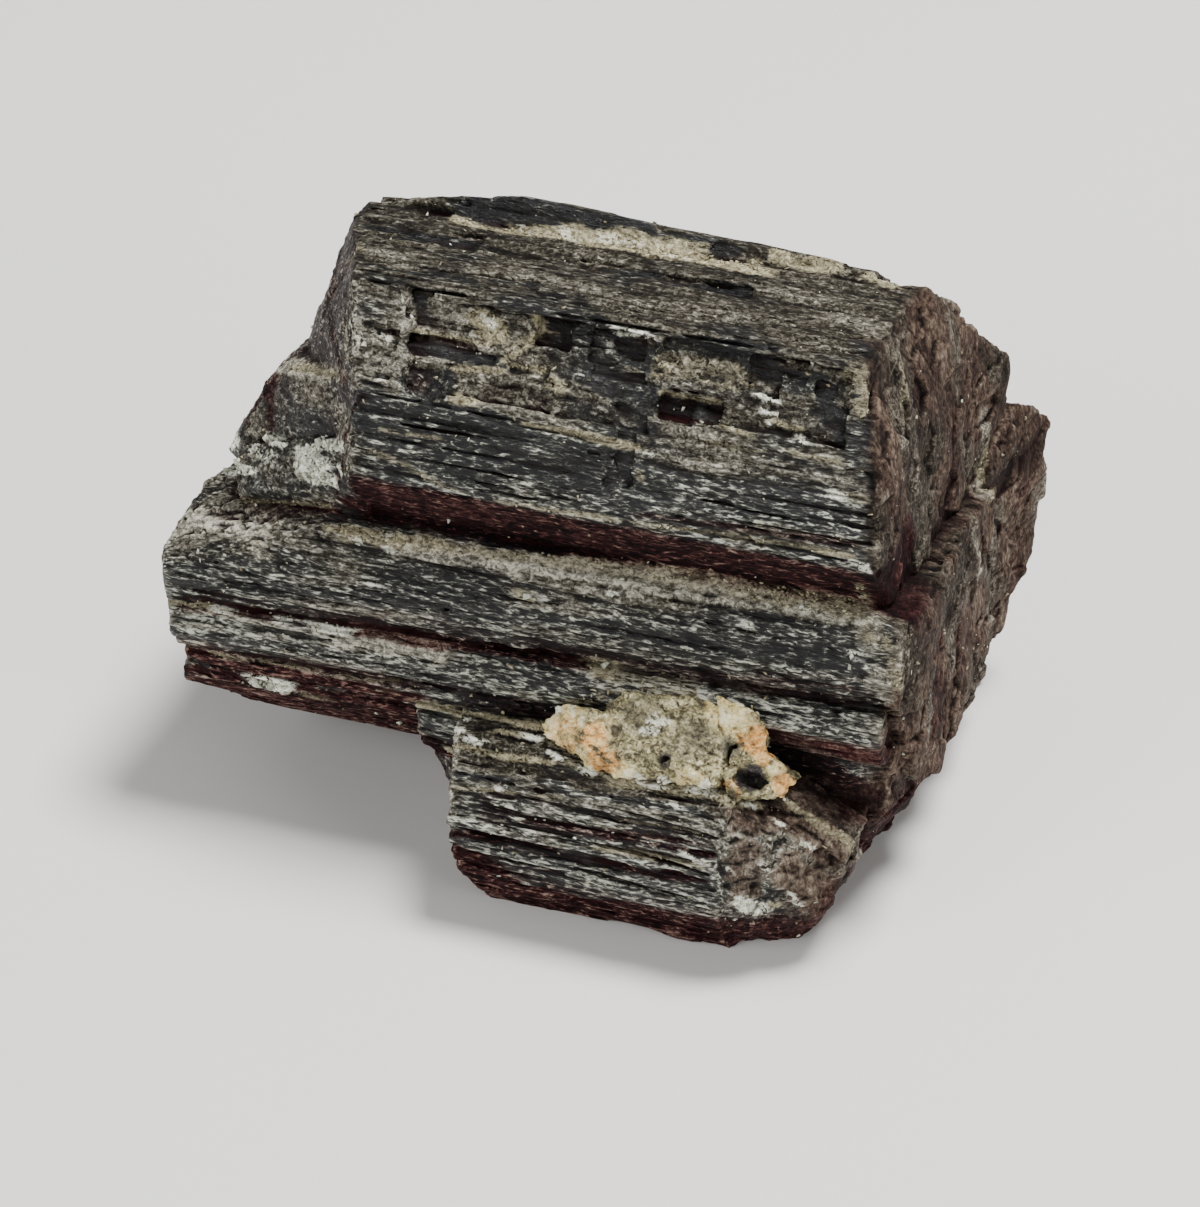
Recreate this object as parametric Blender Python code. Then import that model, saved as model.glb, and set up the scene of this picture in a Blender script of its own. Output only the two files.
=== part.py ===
"""Rough black tourmaline: one stone of intergrown, parallel schorl prisms with a lump of matrix.

Frame: +X runs along the prisms (the crystals' c-axis and the direction of the
striations), +Y runs from the front to the back, +Z is up. The origin is at the
middle of the stone's footprint box, on the surface that it rests on.

The stone grew as one piece, so it is one solid. Each crystal is a convex
prism, given by the corners of its two broken ends. The prisms overlap deeply
and are united, small stepped pits are cut into the front of the upper block,
and the underside is cut flat where the stone rests.
"""

import bmesh
import bpy

MM = 0.001
STONE = "black_tourmaline"

# Crystals: (x, y, z) of each corner in millimetres, in the quarry frame, whose
# x is along the prisms and whose z = 0 is the resting plane. The corners of
# the left end come first, then those of the right end.
CRYSTALS = {
    # the tall block at the top; its front is a narrow striated face over an undercut
    "upper_block": [
        (-17.2, 13.6, 34.0), (-17.0, 15.9, 40.4), (-18.8, 21.0, 47.1), (-21.7, 32.0, 45.4), (-22.4, 30.0, 45.1),
        (-22.9, 28.4, 42.5), (-23.5, 26.2, 39.0), (-24.3, 24.2, 36.9),
        (-22.4, 37.0, 41.0), (-22.0, 41.0, 33.0), (-20.0, 38.0, 20.0), (-18.0, 18.5, 24.0),
        (22.3, 13.6, 34.3), (21.6, 16.2, 39.8), (19.2, 21.0, 46.9), (20.6, 33.0, 45.7),
        (22.6, 37.0, 41.4), (24.6, 42.0, 31.0), (24.5, 40.0, 20.0), (23.0, 18.5, 25.0),
    ],
    # the long prism across the whole front, with its left end broken to a ramp
    "long_prism": [
        (-33.0, 14.6, 22.7), (-32.2, 12.6, 21.9), (-32.6, 13.6, 18.6), (-31.8, 18.0, 12.5),
        (-31.0, 33.0, 12.0), (-31.8, 31.0, 20.0), (-31.2, 21.0, 24.6), (-19.5, 14.3, 28.0),
        (-21.0, 12.5, 24.4), (-19.0, 21.0, 30.2), (-24.0, 39.0, 24.0), (-25.0, 38.0, 10.0),
        (24.4, 14.1, 29.2), (24.8, 12.5, 25.2), (24.6, 13.6, 21.8), (25.5, 17.0, 12.0),
        (26.0, 38.0, 9.0), (26.0, 38.0, 25.0), (25.5, 20.0, 27.0),
    ],
    # the slimmer prism below it
    "slim_prism": [
        (-32.2, 12.6, 18.9), (-31.8, 11.9, 16.9), (-31.5, 13.2, 14.7), (-31.0, 20.0, 14.0), (-31.5, 20.0, 19.5),
        (24.2, 12.4, 22.0), (23.9, 11.9, 19.8), (23.6, 13.4, 16.4), (24.0, 20.0, 15.0), (24.2, 20.0, 22.5),
    ],
    # the overhanging prism at the lower left
    "overhang_prism": [
        (-31.2, 12.6, 14.6), (-31.4, 13.1, 11.3), (-28.5, 19.8, 4.4), (-27.0, 27.0, 2.6), (-30.0, 28.0, 15.0), (-31.0, 14.0, 16.0),
        (-3.0, 12.8, 15.4), (-3.0, 13.2, 13.0), (-4.0, 19.8, 4.0), (-4.0, 27.0, 1.5), (-4.0, 28.0, 15.0), (-3.0, 14.0, 16.5),
    ],
    # the mass at the foot of the stone
    "foot": [
        (-22.0, 30.5, 10.0), (-17.6, 28.0, -1.5), (-17.0, 39.0, -1.5), (-24.0, 38.0, 13.0), (-20.0, 26.0, 20.0), (-20.0, 40.0, 20.0),
        (-11.6, 21.6, -1.5), (-7.6, 13.0, -1.5), (-8.0, 14.0, 20.0), (-3.0, 10.5, -1.5), (11.0, 10.5, -1.5), (19.5, 20.0, -1.5), (19.0, 39.0, -1.5),
        (23.8, 14.6, 11.0), (24.2, 14.8, 20.0), (25.9, 22.0, 8.9), (26.3, 30.0, 8.0), (26.0, 40.0, 6.3), (26.0, 40.0, 20.0),
    ],
    # the ribbed prism at the lower front, and its rough right end
    "lower_prism": [
        (-8.6, 11.0, 14.8), (-7.6, 8.0, 14.2), (-7.4, 6.5, 13.3), (-7.4, 5.0, 9.4), (-6.9, 5.0, 5.5), (-5.0, 8.6, -1.5),
        (-7.0, 22.0, -1.5), (-8.0, 22.0, 15.0),
        (13.5, 11.0, 17.0), (13.5, 8.0, 15.6), (13.6, 6.5, 14.9), (13.7, 5.0, 10.0), (13.7, 5.0, 5.8), (14.0, 8.6, -1.5),
        (14.0, 22.0, -1.5), (14.0, 22.0, 16.0),
    ],
    "lower_end": [
        (12.5, 8.0, 14.6), (12.5, 5.5, 10.0), (12.5, 5.3, 5.6), (12.5, 8.8, -1.5), (12.5, 22.0, -1.5), (12.5, 22.0, 15.0), (12.5, 12.0, 15.9),
        (16.8, 5.9, 6.0), (16.8, 6.9, 12.2), (22.6, 10.6, 11.3), (22.2, 9.6, 8.6), (20.2, 8.6, 4.2), (18.4, 11.0, -1.5),
        (20.0, 22.0, -1.5), (22.4, 22.0, 12.0),
    ],
    "slanting_prism": [
        (12.6, 10.6, 16.6), (13.4, 13.4, 17.0), (13.0, 9.4, 13.8), (13.2, 13.0, 12.0),
        (22.4, 9.6, 12.3), (23.2, 12.2, 12.2), (22.6, 9.0, 9.7), (22.8, 12.2, 8.0),
    ],
    "small_step": [
        (-12.3, 12.4, 14.2), (-12.2, 12.8, 9.6), (-11.6, 18.0, 6.0), (-12.0, 18.0, 14.0),
        (-7.0, 12.0, 14.0), (-7.0, 12.2, 8.2), (-7.0, 18.0, 5.0), (-7.0, 18.0, 14.0),
    ],
    # steps at the left end
    "upper_step": [
        (-26.3, 22.2, 35.6), (-26.0, 33.0, 32.0), (-28.6, 20.6, 29.2), (-31.2, 24.5, 25.0), (-31.0, 34.0, 21.0),
        (-16.1, 17.2, 40.2), (-18.0, 34.0, 40.0), (-15.6, 15.9, 36.6), (-18.0, 38.0, 20.0), (-18.0, 18.0, 22.0),
    ],
    "lower_step": [
        (-28.7, 20.6, 29.5), (-27.2, 17.2, 27.3), (-30.2, 22.0, 22.0),
        (-15.6, 15.7, 36.9), (-16.4, 14.7, 32.0), (-16.5, 16.6, 26.0), (-16.5, 24.0, 24.0),
    ],
    # prisms at the back
    "back_prism": [
        (-17.0, 38.6, 38.4), (-18.0, 42.5, 33.4), (-18.2, 42.9, 29.0), (-17.0, 39.0, 24.0), (-17.0, 30.0, 26.0), (-17.0, 30.0, 40.0),
        (23.2, 38.8, 39.0), (25.2, 42.2, 34.3), (25.4, 42.7, 30.5), (25.0, 39.0, 25.0), (23.0, 30.0, 26.0), (22.0, 30.0, 40.0),
    ],
    "low_back_prism": [
        (-13.0, 43.4, 28.2), (-14.0, 46.4, 24.8), (-14.4, 46.8, 18.0), (-13.6, 46.2, 8.0), (-12.6, 42.6, -1.5), (-12.0, 35.0, -1.5), (-12.0, 34.0, 25.0),
        (26.2, 43.8, 28.6), (27.6, 46.6, 25.6), (28.4, 47.2, 20.6), (27.2, 46.8, 9.0), (24.6, 42.5, -1.5), (20.0, 35.0, -1.5), (24.0, 34.0, 25.0),
    ],
    "top_ridge": [
        (-21.6, 33.4, 45.1), (-20.6, 31.8, 45.5), (-14.6, 32.5, 46.8), (-20.6, 36.6, 41.8), (-18.5, 31.0, 43.0),
        (-10.1, 33.0, 47.5), (-5.1, 33.0, 47.4), (-8.0, 35.6, 45.6),
        (1.4, 33.0, 46.9), (8.6, 33.2, 46.5), (17.0, 33.4, 46.0), (17.5, 36.6, 43.2), (17.0, 31.0, 43.0), (2.0, 31.4, 45.6),
    ],
    # the lump of feldspar and quartz on the ledge above the lower prism
    "matrix_lump": [
        (-3.4, 12.8, 17.0), (-2.4, 10.2, 15.6), (1.0, 12.8, 19.4), (2.0, 9.0, 16.8), (-2.0, 13.5, 13.0),
        (5.5, 12.6, 20.9), (7.5, 7.6, 16.9), (11.0, 12.8, 20.4), (14.6, 13.0, 19.3), (12.0, 7.6, 16.4),
        (17.9, 9.8, 15.6), (16.8, 13.0, 16.0), (14.0, 9.0, 13.0),
    ],
}

# Pits in the front of the upper block, under its top edge: the same kind of corners.
PITS = {
    "long_pit": [
        (-13.4, 9.0, 42.4), (-13.4, 19.3, 39.6), (-13.8, 21.7, 45.3), (-13.8, 20.6, 46.2), (-13.8, 9.0, 46.2),
        (4.4, 9.0, 42.4), (4.4, 19.3, 39.4), (4.4, 21.7, 45.3), (4.4, 20.6, 46.3), (4.4, 9.0, 46.3),
    ],
    "short_pit": [
        (4.3, 9.0, 44.6), (4.3, 19.8, 40.6), (4.3, 21.4, 45.4), (4.3, 20.4, 46.2), (4.3, 9.0, 46.2),
        (19.2, 9.0, 43.6), (19.2, 19.6, 39.8), (18.4, 21.4, 45.4), (18.4, 20.4, 46.2), (18.4, 9.0, 46.2),
    ],
    "slot": [
        (4.9, 10.0, 43.2), (4.9, 19.4, 39.6), (4.9, 20.6, 43.2),
        (9.4, 10.0, 43.2), (9.4, 19.4, 39.6), (9.4, 20.6, 43.2),
    ],
    "round_pit": [
        (-14.2, 16.8, 41.4), (-12.2, 16.4, 41.9), (-10.4, 16.8, 41.4), (-13.8, 18.4, 38.2), (-10.8, 18.4, 38.2), (-12.2, 19.6, 37.9),
        (-13.8, 20.4, 40.9), (-10.8, 20.4, 40.9),
    ],
}

GROUND = [(-60, -20, -8), (60, -20, -8), (60, 80, -8), (-60, 80, -8), (-60, -20, 0), (60, -20, 0), (60, 80, 0), (-60, 80, 0)]


def corners_of(table):
    return [corner for corners in table.values() for corner in corners]


def middle(axis):
    values = [corner[axis] for corner in corners_of(CRYSTALS)]
    return (min(values) + max(values)) / 2


SHIFT = (middle(0), middle(1), 0.0)


def placed(corner):
    return tuple((value - shift) * MM for value, shift in zip(corner, SHIFT))


def hull_object(name, corners, helper=True):
    """A closed convex crystal through the given corners."""
    mesh = bpy.data.meshes.new(name)
    bm = bmesh.new()
    verts = [bm.verts.new(placed(corner)) for corner in corners]
    made = bmesh.ops.convex_hull(bm, input=verts)
    loose = {item for item in made["geom_interior"] + made["geom_unused"] if isinstance(item, bmesh.types.BMVert)}
    bmesh.ops.delete(bm, geom=list(loose), context="VERTS")
    bmesh.ops.recalc_face_normals(bm, faces=bm.faces)
    bm.to_mesh(mesh)
    bm.free()
    obj = bpy.data.objects.new(name, mesh)
    bpy.context.scene.collection.objects.link(obj)
    if helper:
        obj.hide_render = True
        obj.display_type = "WIRE"
    return obj


def combine(target, other, operation):
    modifier = target.modifiers.new(f"{operation.lower()}_{other.name}", "BOOLEAN")
    modifier.operation = operation
    modifier.solver = "EXACT"
    modifier.object = other


def schorl():
    material = bpy.data.materials.new("schorl")
    material.use_nodes = True
    shader = material.node_tree.nodes["Principled BSDF"]
    shader.inputs["Base Color"].default_value = (0.035, 0.036, 0.034, 1.0)
    shader.inputs["Roughness"].default_value = 0.45
    shader.inputs["Metallic"].default_value = 0.0
    return material


def main():
    for obj in list(bpy.data.objects):
        bpy.data.objects.remove(obj, do_unlink=True)
    names = list(CRYSTALS)
    stone = hull_object(STONE, CRYSTALS[names[0]], helper=False)
    for name in names[1:]:
        combine(stone, hull_object("crystal_" + name, CRYSTALS[name]), "UNION")
    for name, corners in PITS.items():
        combine(stone, hull_object("pit_" + name, corners), "DIFFERENCE")
    combine(stone, hull_object("resting_plane", GROUND), "DIFFERENCE")
    stone.data.materials.append(schorl())
    stone.data.shade_flat()


main()
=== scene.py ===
"""The looks of the rough black tourmaline: its striated and broken surfaces, its matrix, floor, lights and camera.

All lengths in the tables are millimetres in the quarry frame: x (called s here)
along the prisms, y (q) from front to back, z up from the resting plane. SHIFT
takes them to the row frame.
"""

import math
from concurrent.futures import ThreadPoolExecutor

import bmesh
import bpy
import numpy as np
import openvdb
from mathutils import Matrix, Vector


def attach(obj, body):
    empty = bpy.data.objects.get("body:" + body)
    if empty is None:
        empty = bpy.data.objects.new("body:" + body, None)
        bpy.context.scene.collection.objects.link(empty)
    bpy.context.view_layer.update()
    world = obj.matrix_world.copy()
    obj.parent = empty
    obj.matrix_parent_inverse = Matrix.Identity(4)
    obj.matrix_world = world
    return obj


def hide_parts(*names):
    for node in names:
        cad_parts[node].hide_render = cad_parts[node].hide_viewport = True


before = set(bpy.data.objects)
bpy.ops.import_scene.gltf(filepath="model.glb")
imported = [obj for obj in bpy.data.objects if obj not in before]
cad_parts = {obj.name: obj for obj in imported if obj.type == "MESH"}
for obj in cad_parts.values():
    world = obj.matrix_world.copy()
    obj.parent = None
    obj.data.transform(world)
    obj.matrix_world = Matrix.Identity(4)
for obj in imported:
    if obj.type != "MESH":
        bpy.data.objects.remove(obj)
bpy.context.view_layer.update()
MM = 0.001
NODE = "black_tourmaline"

# ---------------------------------------------------------------- the crystals
# The same corners as the solid's, with more small crystals.
CRYSTALS = {
    "upper_block": [
        (-17.2, 13.6, 34.0), (-17.0, 15.9, 40.4), (-18.8, 21.0, 47.1), (-21.7, 32.0, 45.4), (-22.4, 30.0, 45.1),
        (-22.9, 28.4, 42.5), (-23.5, 26.2, 39.0), (-24.3, 24.2, 36.9),
        (-22.4, 37.0, 41.0), (-22.0, 41.0, 33.0), (-20.0, 38.0, 20.0), (-18.0, 18.5, 24.0),
        (22.3, 13.6, 34.3), (21.6, 16.2, 39.8), (19.2, 21.0, 46.9), (20.6, 33.0, 45.7),
        (22.6, 37.0, 41.4), (24.6, 42.0, 31.0), (24.5, 40.0, 20.0), (23.0, 18.5, 25.0),
    ],
    "long_prism": [
        (-33.0, 14.6, 22.7), (-32.2, 12.6, 21.9), (-32.6, 13.6, 18.6), (-31.8, 18.0, 12.5),
        (-31.0, 33.0, 12.0), (-31.8, 31.0, 20.0), (-31.8, 20.7, 24.7), (-19.5, 14.3, 28.0),
        (-21.0, 12.5, 24.4), (-19.0, 21.0, 30.2), (-24.0, 39.0, 24.0), (-25.0, 38.0, 10.0),
        (24.4, 14.1, 29.2), (24.8, 12.5, 25.2), (24.6, 13.6, 21.8), (25.5, 17.0, 12.0),
        (26.0, 38.0, 9.0), (26.0, 38.0, 25.0), (25.5, 20.0, 27.0),
    ],
    "slim_prism": [
        (-32.2, 12.6, 18.9), (-31.8, 11.9, 16.9), (-31.5, 13.2, 14.7), (-31.0, 20.0, 14.0), (-31.5, 20.0, 19.5),
        (24.2, 12.4, 22.0), (23.9, 11.9, 19.8), (23.6, 13.4, 16.4), (24.0, 20.0, 15.0), (24.2, 20.0, 22.5),
    ],
    "overhang_prism": [
        (-31.2, 12.6, 14.6), (-31.4, 13.1, 11.3), (-28.5, 19.8, 4.4), (-27.0, 27.0, 2.6), (-30.0, 28.0, 15.0), (-31.0, 14.0, 16.0),
        (-3.0, 12.8, 15.4), (-3.0, 13.2, 13.0), (-4.0, 19.8, 4.0), (-4.0, 27.0, 1.5), (-4.0, 28.0, 15.0), (-3.0, 14.0, 16.5),
    ],
    "foot": [
        (-22.0, 30.5, 10.0), (-17.6, 28.0, -1.5), (-17.0, 39.0, -1.5), (-24.0, 38.0, 13.0), (-20.0, 26.0, 20.0), (-20.0, 40.0, 20.0),
        (-11.6, 21.6, -1.5), (-7.6, 13.0, -1.5), (-8.0, 14.0, 20.0), (-3.0, 10.5, -1.5), (11.0, 10.5, -1.5), (19.5, 20.0, -1.5), (19.0, 39.0, -1.5),
        (23.8, 14.6, 11.0), (24.2, 14.8, 20.0), (25.9, 22.0, 8.9), (26.3, 30.0, 8.0), (26.0, 40.0, 6.3), (26.0, 40.0, 20.0),
    ],
    "lower_prism": [
        (-8.6, 11.0, 14.8), (-7.6, 8.0, 14.2), (-7.4, 6.5, 13.3), (-7.4, 5.0, 9.4), (-6.9, 5.0, 5.5), (-5.0, 8.6, -1.5),
        (-7.0, 22.0, -1.5), (-8.0, 22.0, 15.0),
        (13.5, 11.0, 17.0), (13.5, 8.0, 15.6), (13.6, 6.5, 14.9), (13.7, 5.0, 10.0), (13.7, 5.0, 5.8), (14.0, 8.6, -1.5),
        (14.0, 22.0, -1.5), (14.0, 22.0, 16.0),
    ],
    "lower_end": [
        (12.5, 7.95, 15.0), (12.5, 6.4, 14.4), (12.5, 5.1, 10.0), (12.5, 5.05, 5.6), (12.5, 8.7, -1.5), (12.5, 22.0, -1.5), (12.5, 22.0, 15.0), (12.5, 12.0, 15.9),
        (16.8, 5.9, 6.0), (16.8, 6.9, 12.2), (22.6, 10.6, 11.3), (22.2, 9.6, 8.6), (20.2, 8.6, 4.2), (18.4, 11.0, -1.5),
        (20.0, 22.0, -1.5), (22.4, 22.0, 12.0),
    ],
    "slanting_prism": [
        (12.6, 10.6, 16.6), (13.4, 13.4, 17.0), (13.0, 9.4, 13.8), (13.2, 13.0, 12.0),
        (22.4, 9.6, 12.3), (23.2, 12.2, 12.2), (22.6, 9.0, 9.7), (22.8, 12.2, 8.0),
    ],
    "small_step": [
        (-12.3, 12.4, 14.2), (-12.2, 12.8, 9.6), (-11.6, 18.0, 6.0), (-12.0, 18.0, 14.0),
        (-7.0, 12.0, 14.0), (-7.0, 12.2, 8.2), (-7.0, 18.0, 5.0), (-7.0, 18.0, 14.0),
    ],
    "upper_step": [
        (-26.3, 22.2, 35.6), (-26.0, 33.0, 32.0), (-28.6, 20.6, 29.2), (-31.2, 24.5, 25.0), (-31.0, 34.0, 21.0),
        (-16.1, 17.2, 40.2), (-18.0, 34.0, 40.0), (-15.6, 15.9, 36.6), (-18.0, 38.0, 20.0), (-18.0, 18.0, 22.0),
    ],
    "lower_step": [
        (-28.7, 20.6, 29.5), (-27.2, 17.2, 27.3), (-30.2, 22.0, 22.0),
        (-15.6, 15.7, 36.9), (-16.4, 14.7, 32.0), (-16.5, 16.6, 26.0), (-16.5, 24.0, 24.0),
    ],
    "back_prism": [
        (-17.0, 38.6, 38.4), (-18.0, 42.5, 33.4), (-18.2, 42.9, 29.0), (-17.0, 39.0, 24.0), (-17.0, 30.0, 26.0), (-17.0, 30.0, 40.0),
        (23.2, 38.8, 39.0), (25.2, 42.2, 34.3), (25.4, 42.7, 30.5), (25.0, 39.0, 25.0), (23.0, 30.0, 26.0), (22.0, 30.0, 40.0),
    ],
    "low_back_prism": [
        (-13.0, 43.4, 28.2), (-14.0, 46.4, 24.8), (-14.4, 46.8, 18.0), (-13.6, 46.2, 8.0), (-12.6, 42.6, -1.5), (-12.0, 35.0, -1.5), (-12.0, 34.0, 25.0),
        (26.2, 43.8, 28.6), (27.6, 46.6, 25.6), (28.4, 47.2, 20.6), (27.2, 46.8, 9.0), (24.6, 42.5, -1.5), (20.0, 35.0, -1.5), (24.0, 34.0, 25.0),
    ],
    "top_ridge": [
        (-21.6, 33.4, 44.7), (-20.6, 31.8, 45.1), (-14.6, 32.5, 46.8), (-20.6, 36.6, 41.8), (-18.5, 31.0, 43.0),
        (-10.1, 33.0, 47.5), (-5.1, 33.0, 47.4), (-8.0, 35.6, 45.6),
        (1.4, 33.0, 46.9), (8.6, 33.2, 46.5), (17.0, 33.4, 46.0), (17.5, 36.6, 43.2), (17.0, 31.0, 43.0), (2.0, 31.4, 45.6),
    ],
}
MATRIX = [
    (-3.4, 12.8, 17.0), (-2.4, 10.2, 15.6), (1.0, 12.8, 19.4), (2.0, 9.0, 16.8), (-2.0, 13.5, 13.0),
    (5.5, 12.6, 20.9), (7.5, 7.6, 16.9), (11.0, 12.8, 20.4), (14.6, 13.0, 19.3), (12.0, 7.6, 16.4),
    (17.9, 9.8, 15.6), (16.8, 13.0, 16.0), (14.0, 9.0, 13.0),
]
# Which crystals make each piece of the stone. They interlock, as crystals that grew through each other do.
GROUPS = {
    "schorl_upper_crystals": ("upper_block", "top_ridge", "upper_step", "lower_step"),
    "schorl_front_crystals": ("long_prism", "slim_prism", "overhang_prism"),
    "schorl_lower_crystals": ("foot", "lower_prism", "lower_end", "slanting_prism", "small_step"),
    "schorl_back_crystals": ("back_prism", "low_back_prism"),
}
TRIANGLES = 195000  # for each of these pieces
BROKEN = {"lower_end": 0.8, "slanting_prism": 0.3, "upper_step": 0.6, "lower_step": 0.75}  # crystals with no clean faces along them
CELL = (0.30, 0.135, 0.135)  # the distance grid's cell

# The crystals' faces that carry marks: lower edge and upper edge in (q, z). On a face, t runs from the lower edge up.
FACES = {
    "recess": ((15.95, 40.1), (21.0, 46.85)),
    "top": ((21.0, 46.85), (32.5, 45.6)),
    "front": ((13.6, 34.1), (15.95, 40.1)),
    "under": ((18.5, 24.5), (13.6, 34.1)),
    "long_slope": ((12.5, 24.9), (14.3, 28.6)),
    "long_face": ((13.6, 22.0), (12.5, 24.9)),
    "slim_top": ((11.9, 18.5), (12.5, 20.5)),
    "slim_face": ((13.3, 15.5), (11.9, 18.5)),
    "over_face": ((12.9, 12.5), (12.6, 14.9)),
    "lower_top": ((8.0, 15.0), (11.0, 16.2)),
    "lower_bevel": ((6.5, 14.1), (8.0, 15.0)),
    "lower_face": ((5.0, 9.8), (6.5, 14.1)),
    "lower_face2": ((5.0, 5.6), (5.0, 9.8)),
    "step_front": ((20.6, 29.3), (22.2, 35.8)),
    "low_step": ((17.2, 27.5), (20.6, 30.5)),
    "ramp": ((17.5, 27.3), (24.5, 25.0)),
}
# Pits: face, left and right s, lower and upper t, depth, how far the floor leans, and how broken the floor is.
PITS = [
    ("recess", -13.6, 4.4, 0.9, 7.7, 0.75, 0.0, 0.6),
    ("recess", 4.6, 18.6, 2.4, 7.9, 0.75, 0.0, 0.6),
    ("recess", -14.6, -12.9, 5.9, 8.0, 1.0, 0.4, 0.3),
    ("recess", -14.1, -9.2, 3.4, 4.7, 1.15, 0.35, 0.3),
    ("recess", -9.4, -7.6, 3.3, 4.2, 1.0, 0.1, 0.3),
    ("recess", -4.9, -2.6, 5.7, 7.9, 1.7, 0.2, 0.3),
    ("recess", -2.8, -1.1, 6.3, 8.0, 1.5, 0.4, 0.3),
    ("recess", -6.2, -3.6, 2.3, 4.0, 1.1, 0.5, 0.2),
    ("recess", -0.9, 1.4, 5.2, 7.7, 1.4, 0.1, 0.4),
    ("recess", 1.2, 3.1, 5.9, 7.9, 1.65, 0.3, 0.4),
    ("recess", -0.2, 3.4, 3.3, 4.8, 1.1, 0.4, 0.3),
    ("recess", 4.9, 7.3, 2.1, 4.1, 1.9, 0.1, 0.3),
    ("recess", 7.1, 9.4, 2.3, 3.8, 1.6, 0.3, 0.3),
    ("recess", 10.9, 13.4, 4.9, 7.8, 1.3, 0.0, 0.4),
    ("recess", 13.2, 15.1, 5.4, 8.0, 1.1, 0.3, 0.4),
    ("recess", 15.9, 17.4, 3.9, 6.7, 1.1, 0.3, 0.3),
    ("recess", 19.8, 21.4, 4.6, 8.6, 1.2, 0.1, 0.4),
    ("recess", -17.6, -14.8, 1.2, 5.2, 0.35, 0.3, 0.6),
    ("top", 2.6, 9.2, 5.9, 7.6, 0.28, 0.5, 0.2),
    ("top", -4.0, 2.4, 6.3, 7.7, 0.25, 0.3, 0.2),
    ("top", -20.8, -11.8, 6.2, 8.4, 0.3, 0.3, 0.2),
    ("front", 2.6, 3.8, 3.0, 6.9, 0.45, 0.1, 0.4),
    ("front", 1.9, 3.0, 2.2, 4.4, 0.35, 0.3, 0.4),
    ("front", 4.0, 21.4, 5.2, 7.6, 0.35, 0.6, 0.5),
]
# Round holes: face, middle's s and t, half width, half height, depth.
HOLES = [
    ("recess", -12.1, 1.7, 1.95, 1.7, 0.85),
]
# Open cracks and gaps between needles: face, one end's s and t, the other end's, width and depth.
CRACKS = [
    ("top", -19.2, 1.9, -5.9, 3.0, 0.26, 0.8),
    ("top", -20.7, 7.6, -14.0, 8.6, 0.22, 0.8),
    ("top", -15.7, 6.9, -12.0, 7.3, 0.22, 0.7),
    ("top", -9.0, 5.4, 0.5, 5.7, 0.14, 0.5),
    ("top", -3.0, 2.6, 6.0, 2.3, 0.15, 0.6),
    ("top", 5.0, 3.9, 13.0, 4.2, 0.14, 0.5),
    ("top", 12.0, 1.0, 20.7, 4.9, 0.2, 0.8),
    ("top", 12.8, 3.3, 19.8, 6.6, 0.15, 0.6),
    ("top", 14.0, 0.3, 20.9, 2.6, 0.16, 0.6),
    ("top", -12.0, 0.9, 2.0, 1.1, 0.16, 0.6),
    ("recess", -4.0, 8.05, 12.6, 8.3, 0.24, 0.9),
    ("recess", -18.4, 8.0, -9.0, 8.2, 0.18, 0.6),
    ("recess", -17.8, 0.1, -4.0, 0.0, 0.22, 0.8),
    ("front", -16.6, 4.5, -7.0, 4.7, 0.16, 0.6),
    ("front", -16.9, 3.3, -4.0, 3.4, 0.15, 0.6),
    ("front", -15.0, 2.4, -1.5, 2.1, 0.18, 0.7),
    ("front", -16.0, 1.2, 1.0, 1.3, 0.15, 0.6),
    ("front", 5.0, 1.6, 20.4, 1.9, 0.18, 0.7),
    ("front", 6.0, 3.2, 19.0, 3.0, 0.14, 0.6),
    ("long_slope", -30.0, 1.7, -18.0, 1.9, 0.14, 0.5),
    ("long_slope", -12.0, 1.2, 4.0, 1.0, 0.14, 0.5),
    ("long_slope", 6.0, 2.2, 20.0, 2.1, 0.14, 0.5),
    ("long_face", -32.0, 1.6, 24.0, 1.2, 0.2, 0.8),
    ("long_face", -31.0, 0.5, 20.0, 0.3, 0.22, 0.9),
    ("long_face", -30.0, 2.5, 5.0, 2.3, 0.16, 0.6),
    ("slim_face", -31.5, 1.6, 23.0, 1.5, 0.2, 0.8),
    ("slim_face", -31.0, 2.6, 12.0, 2.5, 0.16, 0.6),
    ("over_face", -31.0, 1.0, -4.0, 0.9, 0.18, 0.6),
    ("lower_top", -7.4, 1.3, 2.0, 1.5, 0.2, 0.6),
    ("lower_face", -7.3, 3.3, 6.5, 2.9, 0.32, 0.8),
    ("lower_face", -7.2, 2.0, 13.2, 1.9, 0.22, 0.7),
    ("lower_face", 2.6, 0.9, 13.0, 0.3, 0.50, 1.2),
    ("lower_face", 5.5, 3.9, 13.4, 3.4, 0.24, 0.7),
    ("lower_face2", -7.3, 3.6, 1.6, 3.0, 0.85, 1.5),
    ("lower_face2", -6.8, 1.7, 3.0, 1.2, 0.45, 1.1),
    ("lower_face2", 2.4, 2.2, 13.2, 1.5, 0.65, 1.3),
    ("lower_face2", -7.0, 0.3, 1.0, 0.2, 0.5, 1.0),
    ("lower_bevel", -7.0, 0.5, 9.0, 0.4, 0.24, 0.7),
    ("lower_bevel", -7.2, 1.3, 13.0, 1.2, 0.2, 0.6),
]
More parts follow.
